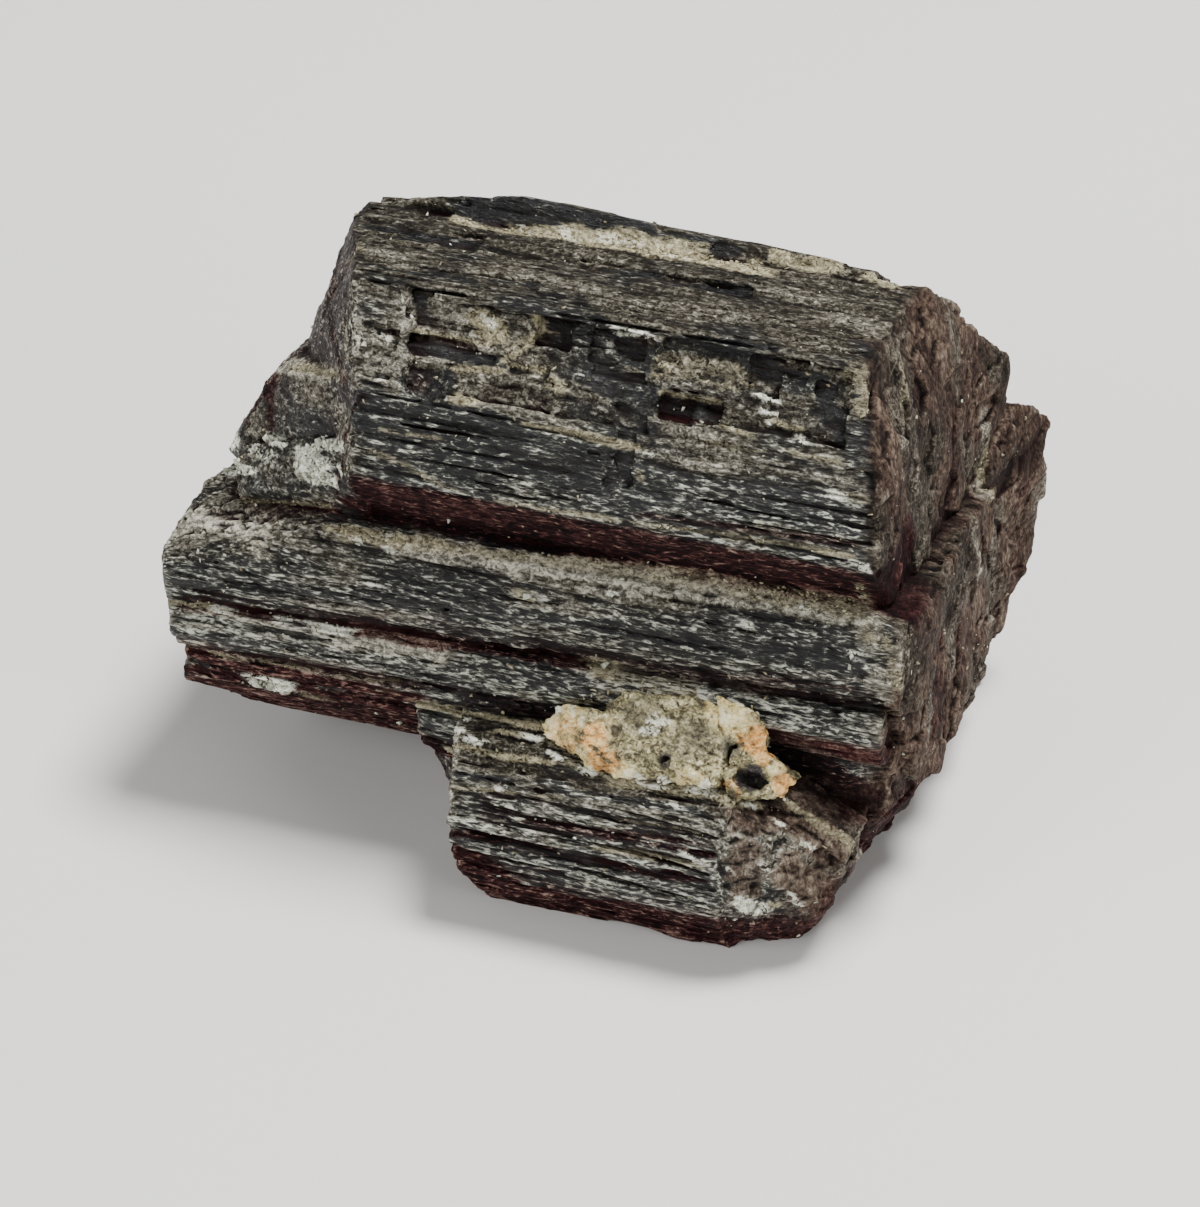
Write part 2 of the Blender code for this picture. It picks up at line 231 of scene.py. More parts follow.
# The lodged matrix: convex lumps, round cavities (place, half width, half height, depth) and coloured places (place, radius, strength).
LUMPS = {
    "left_feldspar": [
        (-2.3, 11.2, 16.2), (-0.7, 11.7, 17.6), (2.1, 11.0, 18.4), (3.6, 10.9, 18.6), (2.2, 8.9, 17.0), (4.6, 8.4, 16.8),
        (1.9, 8.4, 15.2), (-1.4, 9.9, 15.8), (4.4, 8.2, 15.2), (-1.0, 13.4, 15.0), (4.4, 13.4, 15.0),
    ],
    "quartz": [
        (3.0, 10.8, 18.6), (4.3, 11.9, 19.9), (7.1, 11.9, 20.5), (11.0, 12.6, 20.8), (12.6, 11.5, 19.0), (12.9, 10.2, 18.1),
        (8.4, 8.4, 17.8), (5.0, 8.6, 17.3), (7.9, 7.8, 15.5), (3.8, 8.3, 15.2), (12.2, 7.9, 16.3), (13.2, 9.0, 15.6), (4.0, 14.0, 15.5), (13.0, 14.0, 15.5),
    ],
    "right_feldspar": [
        (11.0, 12.5, 21.2), (12.6, 11.9, 21.2), (14.3, 11.9, 20.5), (15.3, 11.8, 19.1), (15.4, 10.8, 17.5), (12.9, 10.1, 18.3), (11.8, 11.6, 20.0), (11.5, 14.0, 17.0), (15.2, 14.0, 16.5),
    ],
    "cavity_rim": [
        (12.8, 8.9, 17.0), (13.0, 10.4, 18.5), (14.8, 11.0, 18.6), (15.2, 10.4, 17.7), (16.9, 10.5, 17.0), (18.1, 10.9, 15.6), (17.3, 9.6, 14.8), (13.8, 7.8, 16.3), (13.6, 8.2, 14.6), (14.0, 13.0, 14.5), (17.5, 13.0, 14.5),
    ],
}
CAVITIES = [
    (14.9, 8.7, 16.9, 1.45, 0.75, 1.7),
    (8.7, 8.5, 17.5, 0.55, 0.45, 0.5),
    (4.2, 9.7, 18.1, 0.40, 0.6, 0.45),
]
LUMP_MARKS = {
    "orange": [(0.6, 10.0, 16.6, 1.5, 0.55), (2.7, 9.5, 17.1, 1.2, 0.95), (3.9, 8.7, 16.2, 1.3, 0.85), (14.6, 11.2, 18.7, 1.2, 1.0), (15.3, 10.8, 17.6, 1.0, 0.9), (17.3, 10.3, 16.0, 1.3, 1.0), (13.6, 8.4, 15.8, 0.9, 0.6)],
    "cream": [(0.4, 10.4, 17.2, 1.6, 0.7), (3.4, 9.8, 17.9, 1.1, 0.6), (-1.3, 10.8, 16.6, 1.3, 1.0), (0.2, 11.4, 17.9, 1.0, 1.0), (12.4, 12.0, 20.6, 1.7, 1.0), (13.6, 11.6, 19.6, 1.2, 0.8), (2.0, 8.6, 15.4, 1.1, 0.9), (5.5, 8.2, 15.6, 1.0, 0.9), (10.6, 8.0, 16.3, 1.2, 0.6), (16.4, 10.2, 16.9, 0.9, 0.8)],
    "grey": [(6.0, 10.9, 19.0, 1.7, 0.6), (10.0, 9.8, 18.4, 1.8, 0.6), (12.9, 10.3, 18.1, 0.8, 1.0), (4.1, 9.9, 18.0, 0.8, 0.9)],
    # the black places lie mostly on the cavities and darken them: painted shade
    "black": [(8.6, 8.7, 17.5, 0.75, 0.9), (14.9, 9.4, 16.4, 1.35, 1.0), (4.2, 9.9, 18.0, 0.4, 0.8), (12.9, 10.4, 18.0, 0.45, 0.5)],
    "milky": [(7.2, 10.2, 19.0, 0.75, 1.0), (6.5, 9.9, 18.5, 0.45, 0.9), (8.0, 10.5, 19.2, 0.4, 0.9), (-0.9, 11.5, 17.5, 0.6, 1.0), (0.6, 11.3, 18.1, 0.4, 0.9), (6.6, 8.1, 15.4, 0.6, 0.9), (8.6, 7.9, 15.7, 0.5, 1.0), (11.8, 8.0, 16.2, 0.5, 0.9), (13.2, 12.0, 20.0, 0.35, 0.9)],
}
# Larger pale crystals: place, half length, half width, half thickness.
BIG_GRAINS = [
    (-20.9, 17.3, 33.5, 0.6, 0.4, 0.2), (-20, 16.8, 33.9, 0.6, 0.35, 0.2), (-19, 16.3, 34.3, 0.5, 0.4, 0.2), (-21.8, 17.3, 32.7, 0.5, 0.4, 0.25),
    (-22.4, 17.2, 31.9, 0.5, 0.5, 0.25), (-22.5, 16.8, 31.4, 0.5, 0.4, 0.3), (-22.1, 16.4, 30.9, 0.6, 0.4, 0.25), (-21.4, 16.1, 30.9, 0.6, 0.35, 0.2),
    (-20.5, 15.9, 31.1, 0.7, 0.35, 0.2), (-19.6, 15.7, 31.6, 0.6, 0.35, 0.2), (-18.6, 15.7, 32.8, 0.25, 0.4, 0.3), (-21.3, 16.5, 32.2, 0.4, 0.3, 0.2),
    (-29.6, 22.9, 28.1, 0.45, 0.35, 0.4), (-29.7, 22.3, 27.4, 0.5, 0.4, 0.4), (-28.8, 20.4, 27.7, 0.5, 0.4, 0.45), (-28.2, 19.4, 28.6, 0.45, 0.4, 0.4),
    (-30.6, 22.7, 24.8, 0.5, 0.4, 0.4), (-30.1, 22.8, 24.9, 0.35, 0.3, 0.3), (-27.3, 18.6, 28.6, 0.5, 0.4, 0.25), (-26.7, 18.1, 28.8, 0.4, 0.35, 0.25),
    (-26.1, 19.8, 30.9, 0.5, 0.35, 0.25), (-24.9, 18.9, 31.4, 0.5, 0.3, 0.25), (-25.3, 13, 12.5, 1, 0.45, 0.4), (-24, 13, 12.6, 0.8, 0.4, 0.4),
    (15.9, 5.8, 7, 0.8, 0.5, 0.45), (15.2, 5.6, 7.6, 0.5, 0.35, 0.35), (16.4, 5.9, 6.6, 0.5, 0.35, 0.3), (12.5, 19, 44.1, 0.25, 0.2, 0.12),
    (13.2, 18.9, 43.9, 0.25, 0.2, 0.12), (12.4, 18.4, 43.3, 0.2, 0.2, 0.12), (2.8, 13.7, 27.6, 0.3, 0.3, 0.2), (16.9, 14.5, 29.1, 0.35, 0.25, 0.2),
    (21.1, 13.1, 26.7, 0.35, 0.3, 0.25), (13, 13.5, 27.4, 0.4, 0.25, 0.2), (2.4, 13.5, 20.9, 0.6, 0.35, 0.3), (-3.5, 13.2, 26.3, 0.5, 0.35, 0.3),
    (-16.9, 14, 27.5, 0.3, 0.25, 0.2), (-14.6, 13.9, 27.4, 0.3, 0.25, 0.2),
]
# Where the surface is pale, white, dark, dusty or brown, and where shade with a red reflection is painted on undersides
# and undercuts: lines from one (s, q, z) to another, half width, strength. Some thin pale lines along edges are painted
# highlights, and some dark marks are painted shade in pits and under steps.
MARKS = {
    "pale": [
        (-17.9, 14.1, 27.7, 1.5, 15.1, 28.9, 0.45, 0.6),
        (1.5, 15.1, 28.9, 21, 15.2, 29.2, 0.53, 0.55),
        (3.1, 12.4, 20.7, 8.4, 12.4, 21.1, 0.45, 0.4),
        (-14.8, 31.1, 45.6, -10.9, 30.5, 45.8, 0.38, 0.9),
        (-11, 30.6, 45.7, -6.5, 31.3, 45.7, 0.67, 1),
        (-6.5, 31.3, 45.7, -0.5, 31.6, 45.8, 0.75, 1),
        (-0.5, 31.6, 45.8, 4.1, 31.5, 45.8, 0.82, 1),
        (4.1, 31.5, 45.8, 8.1, 31.3, 45.8, 0.67, 1),
        (8.2, 32.2, 45.8, 9.4, 31.1, 45.9, 0.53, 0.8),
        (9.4, 32.9, 46.2, 14.1, 33.1, 46, 0.38, 0.9),
        (16.4, 33.2, 45.8, 18.5, 32.5, 45.8, 0.38, 0.9),
        (-13.7, 18.8, 44.2, -8, 18.8, 44.1, 0.22, 0.8),
        (-10.6, 17.6, 42.6, -6.9, 17.9, 43, 0.22, 0.7),
        (-10, 16.4, 40.9, -8.3, 16.3, 40.7, 0.38, 1),
        (-9.3, 19.8, 45.5, -7.6, 19.2, 44.7, 0.9, 0.9),
        (-5, 20.4, 46.2, -4.7, 19.8, 45.4, 0.3, 1),
        (-4.7, 19.8, 45.4, -5.7, 18.9, 44.2, 0.3, 1),
        (-5.7, 18.9, 44.2, -7, 18.3, 43.5, 0.3, 0.9),
        (-6.7, 18.7, 44, -5.8, 19.3, 44.8, 0.45, 0.4),
        (-6.6, 18.2, 43.4, -3.8, 18.2, 43.4, 0.22, 0.8),
        (-4.5, 15.9, 40.1, -0.6, 15.9, 40, 0.22, 0.8),
        (-0.6, 15.9, 40, 4.1, 15.9, 39.8, 0.3, 0.8),
        (-3.2, 17.8, 42.9, -2.3, 17.6, 42.5, 0.38, 0.6),
        (5.1, 18.3, 43.3, 9.2, 18.4, 43.3, 0.19, 0.8),
        (9.6, 17.5, 42, 12, 17.3, 41.6, 0.22, 0.7),
        (13.2, 18.1, 42.8, 15.4, 17.9, 42.5, 0.22, 0.7),
        (18.4, 20.9, 46.7, 19.6, 19.2, 44.2, 0.6, 0.5),
        (4.7, 19.2, 44.6, 10.6, 19.4, 44.8, 0.9, 0.3),
        # thin lines along the upper block's lower front edge: painted highlights
        (-5.6, 13.6, 34.2, -1.1, 13.7, 34.4, 0.19, 0.7),
        (-1.1, 13.7, 34.4, 20.5, 14, 35.2, 0.19, 0.7),
        (4.5, 15.2, 38.2, 4.6, 14.7, 37.2, 0.15, 0.7),
        (19.4, 15.8, 39, 20.9, 15.8, 39, 0.38, 0.4),
        (-19.7, 14.5, 28, -16.9, 14.4, 28.1, 0.26, 1),
        (-18.1, 14.6, 28.1, -14.1, 14.5, 28.2, 0.38, 1),
        (-14.1, 14.5, 28.2, -9.9, 14.6, 28.4, 0.3, 1),
        (-6.1, 14.8, 28.5, 4.5, 15.2, 29, 0.38, 0.5),
        (4.5, 15.2, 29, 20.1, 15.9, 29.1, 0.6, 0.35),
        (-4.2, 13.2, 26.4, -3.4, 13.1, 26.2, 0.45, 0.8),
        (-32, 13.1, 18.9, -27, 12.9, 19.2, 0.19, 0.8),
        # thin lines along the overhang prism's top edge: painted highlights
        (-30.9, 12.7, 14.7, -26.4, 12.8, 14.9, 0.11, 0.6),
        (-26.4, 12.8, 14.9, -12, 12.9, 15.3, 0.09, 0.4),
        (-23.1, 13, 12.3, -19.4, 13.1, 12.2, 0.19, 0.5),
        (-15.8, 12.8, 14.3, -14, 12.8, 14.5, 0.19, 0.5),
        (-12.2, 12.4, 13.9, -9.5, 12.5, 14.1, 0.22, 0.9),
        (-9.5, 12.5, 14.1, -1.6, 10.8, 16.4, 0.22, 1),
        (-9.5, 12.4, 10.1, -4.2, 8.4, 14.6, 0.22, 0.7),
        (-4.2, 8.4, 14.6, -0.1, 8.5, 14.9, 0.22, 0.7),
        (-5.3, 10.5, 15, -2.9, 10.4, 15.2, 0.22, 0.5),
        (-7.3, 6.2, 12.4, 1.1, 6.3, 13.4, 0.15, 0.6),
        (5.8, 5.9, 12.8, 12, 5.9, 13, 0.15, 0.5),
        (3.8, 5.2, 10.2, 12.2, 5.2, 10.5, 0.19, 0.6),
        (17.6, 10, 14.2, 22.3, 9.5, 11.9, 0.38, 0.5),
        (21.9, 9.6, 12.3, 22.7, 10, 10.9, 0.45, 0.6),
        (-24.7, 22.1, 36.3, -20, 19.2, 38.8, 0.38, 0.7),
        (-27.9, 18.2, 25.8, -19.7, 16, 28.9, 0.19, 0.5),
        (1.6, 13.5, 20.9, 3, 13.1, 20.9, 0.45, 0.9),
        (24.8, 38.8, 28.2, 26, 36.3, 24.5, 0.38, 0.4),
        (17.3, 6.4, 7.1, 17.9, 6.7, 6.7, 0.22, 0.8),
        (-20.1, 24.6, 46.4, -19.1, 24.2, 46.6, 0.22, 0.7),
        (-19.7, 21.1, 44.2, -18.4, 18.1, 41.1, 0.19, 0.5),
        (8.4, 16.7, 40.9, 12.9, 16.7, 40.8, 0.15, 0.5),
        (14.3, 17, 41.1, 18.6, 17, 41, 0.15, 0.5),
        (-16.1, 14.4, 36.3, -9.4, 13.7, 34.4, 0.19, 0.5),
        (-15.1, 14.9, 37.8, -10.6, 15, 37.9, 0.15, 0.5),
        (21, 14.7, 32.1, 22.2, 13.7, 28.1, 0.3, 0.5),
        (23.3, 13.8, 28.3, 24.8, 12.6, 24.9, 0.38, 0.4),
        (20.7, 25.8, 44.1, 21.8, 23.4, 40.8, 0.3, 0.4),
        (-3.6, 11.4, 15.3, -1.2, 10.8, 16.6, 0.45, 0.8),
        (-1.2, 10.1, 16.1, 4.1, 8.1, 15, 0.3, 0.35),
        (4.7, 7.8, 14.9, 13, 8, 15.6, 0.38, 0.7),
        (13.4, 7.5, 15.4, 15.7, 9.4, 14, 0.3, 0.6),
        (-0.5, 11.4, 17.5, 3.3, 11.6, 19.4, 0.38, 0.6),
        (3.2, 11.9, 19.6, 9.2, 12.4, 20.9, 0.38, 0.5),
        (0.4, 8.7, 15.1, 2.9, 8.2, 15, 0.38, 0.3),
    ],
    "white": [
        (-9.7, 31.5, 45.6, -8.8, 31.1, 45.7, 0.22, 0.6),
        (-6.4, 31.7, 45.7, -5.6, 30.9, 45.7, 0.3, 0.7),
        (-3.6, 31.7, 46, -0.5, 31.7, 46, 0.15, 0.5),
        (1.7, 31.4, 45.7, 3, 31.1, 45.8, 0.3, 0.6),
        # a bright line along the upper edge of the recess: a painted highlight
        (0.9, 20.6, 46.5, 3.2, 20.6, 46.5, 0.2, 1),
        (-18.6, 19.3, 43.6, -17.6, 17.8, 42.9, 0.22, 0.8),
        (-16.9, 18.5, 43.8, -15.7, 18.3, 43.5, 0.22, 0.7),
        (-15.7, 16.6, 41.3, -15.1, 16.3, 40.9, 0.15, 0.8),
        (-9.1, 19.9, 45.6, -8.2, 19.7, 45.3, 0.3, 0.8),
        (0.4, 19.8, 45.4, 0.7, 19.3, 44.8, 0.22, 0.9),
        (-1.6, 18.5, 43.8, -1.2, 18.2, 43.4, 0.19, 0.8),
        (11.6, 19, 44.2, 13.5, 18.8, 43.9, 0.15, 1),
        (12.1, 18.4, 43.3, 13.4, 18.4, 43.3, 0.15, 0.9),
        (12.8, 18.1, 42.8, 13.1, 17.9, 42.5, 0.15, 0.9),
        (15.3, 17.6, 42, 16, 17.5, 41.9, 0.22, 0.9),
        (18.5, 15.8, 39, 19.3, 15.8, 39, 0.26, 1),
        (20.4, 13.8, 34.7, 21.6, 13.8, 34.7, 0.22, 1),
        (2.8, 13.7, 27.7, 3.1, 13.7, 27.6, 0.22, 1),
        (12.8, 13.5, 27.6, 13.4, 13.4, 27.3, 0.3, 1),
        (16.7, 14.7, 29.2, 17.1, 14.4, 29.1, 0.22, 1),
        (20.9, 13.2, 26.8, 21.7, 13.1, 26.6, 0.3, 1),
        (-28.5, 13.1, 19.1, -26.8, 12.8, 19.2, 0.19, 0.9),
        (-23.4, 12.9, 19.4, -22.1, 12.7, 19.5, 0.22, 1),
        (-21.1, 13.2, 19.6, -19.8, 13, 19.6, 0.22, 0.9),
        (-19.6, 12.8, 19.6, -17.3, 12.6, 19.7, 0.22, 1),
        (-20.4, 12.3, 19, -19.9, 12.2, 18.7, 0.22, 1),
        (-25.8, 13, 12.6, -23, 13, 12.7, 0.6, 1),
        (-8.4, 10.3, 14.7, -7.9, 10.1, 14.7, 0.22, 0.9),
        (-4, 6.3, 13.1, -3.7, 6.3, 13, 0.22, 0.9),
        (15.2, 5.6, 7.7, 16.5, 5.9, 6.8, 0.53, 1),
        (-22.6, 17.4, 32.1, -22, 16.4, 31, 0.53, 1),
        (-22, 17.1, 32.2, -21.3, 16.2, 31.3, 0.53, 1),
        (-21.4, 17.1, 32.9, -20.7, 17.1, 33.4, 0.45, 1),
        (-21.5, 16.6, 32.2, -20.1, 16.1, 32.7, 0.45, 1),
        (-21.1, 16.9, 32.8, -20.2, 16, 31.8, 0.45, 1),
        (-20.8, 17.2, 33.6, -18.4, 15.6, 35, 0.45, 1),
        (-21.9, 16.3, 30.8, -19.3, 15.6, 31.6, 0.45, 1),
        (-20.7, 16.1, 31.6, -19.9, 15.8, 31.8, 0.3, 1),
        (-18.7, 15.7, 32.9, -18.5, 15.6, 32.6, 0.19, 1),
        (-26.4, 19.7, 30.8, -24.4, 18.7, 31.7, 0.34, 0.9),
        (-28.5, 19.8, 27.5, -26.5, 18.1, 28.9, 0.38, 0.8),
        (-29.5, 22.2, 28, -29.6, 23.1, 28.2, 0.38, 1),
        (-30, 22.7, 26.9, -29.8, 22.6, 26.9, 0.38, 1),
        (-28.8, 20.4, 27.6, -28.6, 20, 27.9, 0.45, 1),
        (-30.8, 22.7, 24.7, -29.3, 21.1, 26, 0.38, 1),
        (-27.1, 19.4, 29.7, -25, 18.2, 30.5, 0.53, 0.35),
        (-16.9, 14.1, 27.7, -16.6, 14.1, 27.6, 0.22, 0.9),
        (-14.9, 14.6, 28.2, -14.5, 14.5, 28.2, 0.22, 0.9),
        (-2.9, 10.4, 15.2, -1.7, 10.3, 15.3, 0.22, 0.9),
        (-0.7, 9.2, 15.2, 0.3, 8.9, 15.2, 0.22, 0.8),
        (2, 8.3, 15, 3, 8.2, 15, 0.22, 0.9),
        (6.8, 7.9, 15.1, 8.3, 7.9, 15.2, 0.19, 1),
        (10.6, 8.1, 15.4, 12.3, 7.9, 15.8, 0.19, 1),
        (-6.9, 9.5, 14.6, -6.2, 9.3, 14.7, 0.22, 0.8),
        (16.9, 8.9, 13.3, 17.6, 8.8, 13, 0.22, 0.8),
        (18.9, 8.5, 12, 19.8, 8.7, 11.3, 0.22, 0.8),
        (14.6, 8.8, 14.3, 15.3, 9, 14.1, 0.22, 0.8),
        (16.5, 6.6, 10.8, 17.2, 6.8, 10.2, 0.22, 0.6),
        (18.6, 7.2, 7.7, 19.3, 7.7, 6.5, 0.22, 0.6),
        (-14.8, 14, 27.5, -14.2, 13.9, 27.4, 0.22, 0.9),
        (-17, 12.6, 24.8, -14.8, 12.7, 24.9, 0.15, 0.8),
        (-8.3, 11.4, 14.8, -7.8, 11.2, 14.9, 0.22, 0.8),
        (21.2, 13.6, 34.4, 21.8, 13.7, 34.2, 0.3, 0.6),
        (-2.5, 13.2, 26.4, -2, 13.1, 26.3, 0.22, 0.7),
        (9.2, 6.9, 14.8, 9.9, 6.7, 14.7, 0.22, 0.7),
        (10.9, 5.4, 11.2, 11.4, 5.3, 11.1, 0.22, 0.9),
        (12.2, 5.3, 11, 12.6, 5.3, 10.9, 0.22, 0.8),
        (-2.3, 5, 7.3, -0.9, 5, 7.1, 0.22, 0.8),
        (4.7, 15.8, 39.6, 5.2, 15.8, 39.4, 0.22, 0.6),
    ],
    # mostly the stone's own clean black; on the pits and the step in the recess it is painted shade
    "dark": [
        (-13.8, 32.2, 46.2, -10, 32.5, 46.8, 0.6, 1),
        (-10, 32.4, 46.7, -4.6, 32.5, 46.9, 0.6, 1),
        (-14.3, 32.4, 46.7, -7, 32.9, 47.4, 0.53, 1),
        (-4.6, 32.4, 46.8, -0.1, 32.7, 46.8, 0.45, 0.6),
        (0.2, 32.2, 46.4, 6.6, 32.7, 46.3, 0.38, 0.6),
        (-20.7, 28.4, 46, -11.8, 28.4, 46, 0.45, 0.8),
        (-19.1, 27.1, 46.2, -12.4, 28, 46.1, 0.3, 0.8),
        (-2, 27.9, 46.2, 2, 28.4, 46.2, 0.45, 0.8),
        (3.2, 27.3, 46.4, 8.5, 27.9, 46.3, 0.67, 0.8),
        (-15.4, 27.8, 46.1, -12, 28, 46.1, 0.22, 0.9),
        (-18.8, 22.3, 46.9, -15.3, 21.9, 47, 0.15, 1),
        (-15.3, 21.9, 47, -5.8, 23.6, 46.8, 0.15, 1),
        (-0.2, 20.7, 46.6, 2.8, 20.7, 46.6, 0.15, 1),
        (2.8, 20.6, 46.5, 12.7, 20.9, 46.9, 0.15, 1),
        (14.9, 7.7, 13.8, 16.3, 6.8, 12.5, 0.67, 0.5),
        # the step's shadow in the recess: painted shade
        (-13.6, 18.2, 43.4, -7, 18.2, 43.4, 0.53, 0.9),
        (-13.8, 20.2, 46, -13, 19.5, 45.1, 0.53, 1),
        (-4.2, 20.4, 46.2, -1.9, 20.2, 45.9, 0.6, 1),
        (-3.8, 19.5, 45.1, -3.2, 19.4, 44.9, 0.38, 1),
        # the round hole in the recess painted dark: painted shade
        (-12.9, 16.5, 41.2, -11.1, 16.7, 41.5, 1.27, 1),
        (-0.8, 20.3, 46.1, 3.2, 19.4, 44.9, 1.05, 0.8),
        (-2.8, 19.2, 44.6, 3.7, 17.8, 42.6, 1.5, 0.6),
        (-1.3, 17, 41.6, 4, 16.8, 41.2, 0.9, 0.5),
        (11.1, 20.1, 45.7, 15.2, 19.7, 45.1, 0.97, 0.8),
        (4.4, 20.2, 45.9, 10.2, 20.5, 46.3, 0.45, 0.7),
        (15.9, 19.9, 45.4, 17.2, 18.7, 43.6, 0.67, 1),
        (19.8, 23.1, 45.7, 20.5, 21.4, 43.7, 0.53, 1),
        (5.3, 17.9, 42.7, 8.5, 17.9, 42.6, 0.6, 1),
        (18.7, 17.9, 42.4, 21.3, 16.8, 40.6, 0.67, 0.7),
        (-16, 15.4, 38.9, 1.6, 14.9, 37.8, 1.95, 0.7),
        (4.6, 14.7, 37.2, 21.4, 15.2, 37.8, 1.35, 0.5),
        (2.7, 15.6, 39.1, 4.1, 14.5, 36.6, 0.53, 1),
        (-31.8, 12.9, 20.9, -17.1, 12.6, 23.4, 0.6, 0.8),
        (-17.1, 12.6, 23.4, -0.8, 12.6, 25, 0.67, 0.8),
        (-0.8, 12.6, 25, 21.8, 12.8, 26, 0.53, 0.7),
        (2.5, 5.4, 11, 2.9, 5, 8.7, 0.45, 0.8),
        (1.8, 5.5, 11.2, 13, 5.5, 11.6, 0.3, 1),
        (-7, 5, 8.7, 0.9, 5, 9, 0.45, 1),
        (3.9, 5, 8.8, 12.7, 5, 9.4, 0.45, 1),
        (-11.1, 12.3, 13.5, -10.7, 12.6, 9.5, 0.67, 0.8),
        (20.8, 19.6, 42.5, 22.3, 16.4, 35.3, 0.53, 0.6),
        (18.6, 23.6, 46.6, 20.2, 18.5, 43.2, 0.38, 0.8),
        (20.2, 18.5, 43.2, 21.8, 14.6, 36.5, 0.38, 0.7),
        (18.7, 22.6, 46.8, 17.6, 23.2, 46.7, 0.3, 0.5),
        (-16.5, 15.8, 40, -10.1, 16, 40.3, 0.19, 0.9),
        (-10.1, 16, 40.3, -1.8, 16, 40, 0.19, 0.8),
        (14.8, 9.5, 16.7, 14.4, 9.1, 16.5, 0.6, 1),
        (-7.2, 6.6, 13.4, 0.9, 7.1, 14.3, 0.22, 0.7),
        (1, 6.6, 14, 11.8, 6.5, 14.8, 0.22, 0.7),
        (21.8, 14, 35.2, 22, 14.1, 33.3, 0.3, 0.8),
    ],
    "dust": [
        (-17.7, 19.8, 45.5, -9.6, 19.3, 44.9, 1.5, 0.6),
        (-17.6, 23, 46.8, -9.2, 20.7, 46.6, 0.9, 0.5),
        (15.4, 12, 19.6, 22.1, 12.8, 17.8, 1.05, 0.6),
        (15.2, 7.9, 13.7, 21, 9.2, 10.1, 1.8, 0.5),
        (16.4, 6.5, 10.3, 19.2, 7.7, 8, 1.05, 0.4),
        (25.6, 22.7, 19.7, 25.7, 24.4, 18.1, 0.07, 0.1),
        (-18.8, 19.3, 42.9, -14.1, 16.6, 41.3, 1.65, 0.7),
        (-8.8, 17, 41.8, -1.8, 16, 40.2, 1.2, 0.6),
        (4.9, 16.2, 40.3, 19.4, 16.8, 40.7, 1.35, 0.35),
        (-31.7, 12.3, 18, -10.1, 12.4, 19.9, 0.82, 0.9),
        (-32.2, 16.7, 23.5, -19.4, 15.1, 28.3, 1.35, 0.6),
        (-23.4, 20.5, 36.4, -18.3, 16.1, 36.7, 1.5, 0.5),
        (-20, 24.2, 46.4, -10.4, 24.4, 46.7, 0.67, 0.5),
        (-10.7, 25.3, 46.5, -1.3, 24.3, 46.7, 0.67, 0.5),
        (2.4, 12.2, 20, 14.5, 12.4, 21.3, 0.67, 0.8),
        (16.2, 12.1, 20.1, 22.3, 12.5, 18.3, 1.05, 0.7),
        (17.2, 10.1, 14.4, 21.4, 11.6, 13, 0.9, 0.5),
        (-29.9, 18.1, 24.9, -21.5, 14.1, 27.1, 1.35, 0.7),
        (24.6, 38.8, 30.6, 25.1, 36.3, 25.3, 0.75, 0.9),
        (25.8, 31.7, 25.3, 25.9, 32.8, 19.9, 0.67, 0.9),
        (22.4, 31.6, 40.8, 22.7, 31.2, 38.4, 0.53, 0.8),
        (20.1, 23.6, 45.2, 22.1, 20.9, 38.2, 0.9, 0.7),
        (21.8, 16.5, 38.7, 23.3, 19.6, 28.3, 0.9, 0.5),
        (24.6, 14.4, 28.1, 23.7, 13.1, 23.2, 0.9, 0.5),
        (-0.9, 23, 46.8, 12, 24.8, 46.6, 0.9, 0.5),
        (10.9, 28.8, 46.2, 19.8, 26.1, 46.4, 1.2, 0.6),
        (-13.6, 14.1, 27.8, 4.6, 14.9, 28.9, 0.9, 1.7),
        (4.7, 14.5, 28.8, 21, 15.2, 29.2, 1.12, 1.4),
        (2.2, 12.7, 20.8, 9.2, 12.5, 21.2, 0.9, 0.9),
        (-25.6, 22.6, 35.9, -18.9, 18.1, 39.7, 0.75, 1),
        (-31.7, 17.5, 23.9, -24.7, 14.2, 25.8, 1.05, 1.4),
        (10, 12.5, 21.2, 17.4, 13, 21.7, 0.6, 0.5),
        (-1, 13.3, 20.7, 5.2, 13, 21, 0.45, 0.5),
        (20.8, 16.1, 29.6, 23.3, 12.6, 25.5, 0.9, 0.6),
        (19.8, 26.1, 46.4, 22, 21.4, 39.5, 0.75, 0.5),
        (-7.8, 9.7, 14.6, -1.5, 9.7, 15.2, 0.6, 0.4),
    ],
    # painted shade with a painted red reflection on undersides, undercuts, pits and grooves
    "shade_and_red_reflection_marks": [
        (-30.9, 12.7, 14.3, -12, 12.8, 14.2, 0.67, 1),
        (-17.9, 15.5, 30, 1.8, 14.3, 32.8, 0.97, 1),
        (1.8, 14.3, 32.8, 21.1, 14.5, 32.6, 0.97, 0.9),
        (5.5, 17.4, 42, 8.2, 17.5, 42, 0.22, 1),
        (-16.8, 15.8, 40.1, -19, 15.6, 29.8, 0.17, 1),
        (-26.4, 21.8, 34.7, -25.8, 20, 32.1, 0.53, 0.8),
        (-24.9, 17, 27.1, -19.4, 16, 28.5, 0.22, 1),
        (-31.1, 12.9, 19, -21.6, 13.4, 19.6, 0.38, 0.9),
        (-21.6, 13.4, 19.6, 2, 13.5, 20.9, 0.38, 0.9),
        (2, 13.5, 20.9, 21.1, 12.9, 23.7, 0.3, 0.6),
        (-31, 12.9, 14.9, -12.1, 13.1, 15.5, 0.53, 0.7),
        (-31.1, 12.9, 12.6, -12.9, 13.1, 12.6, 0.67, 1),
        (-27.6, 16.8, 7.5, -14.5, 18.6, 5.4, 0.6, 1),
        (15.5, 11.9, 18.1, 22.6, 14.2, 12.1, 1.35, 0.7),
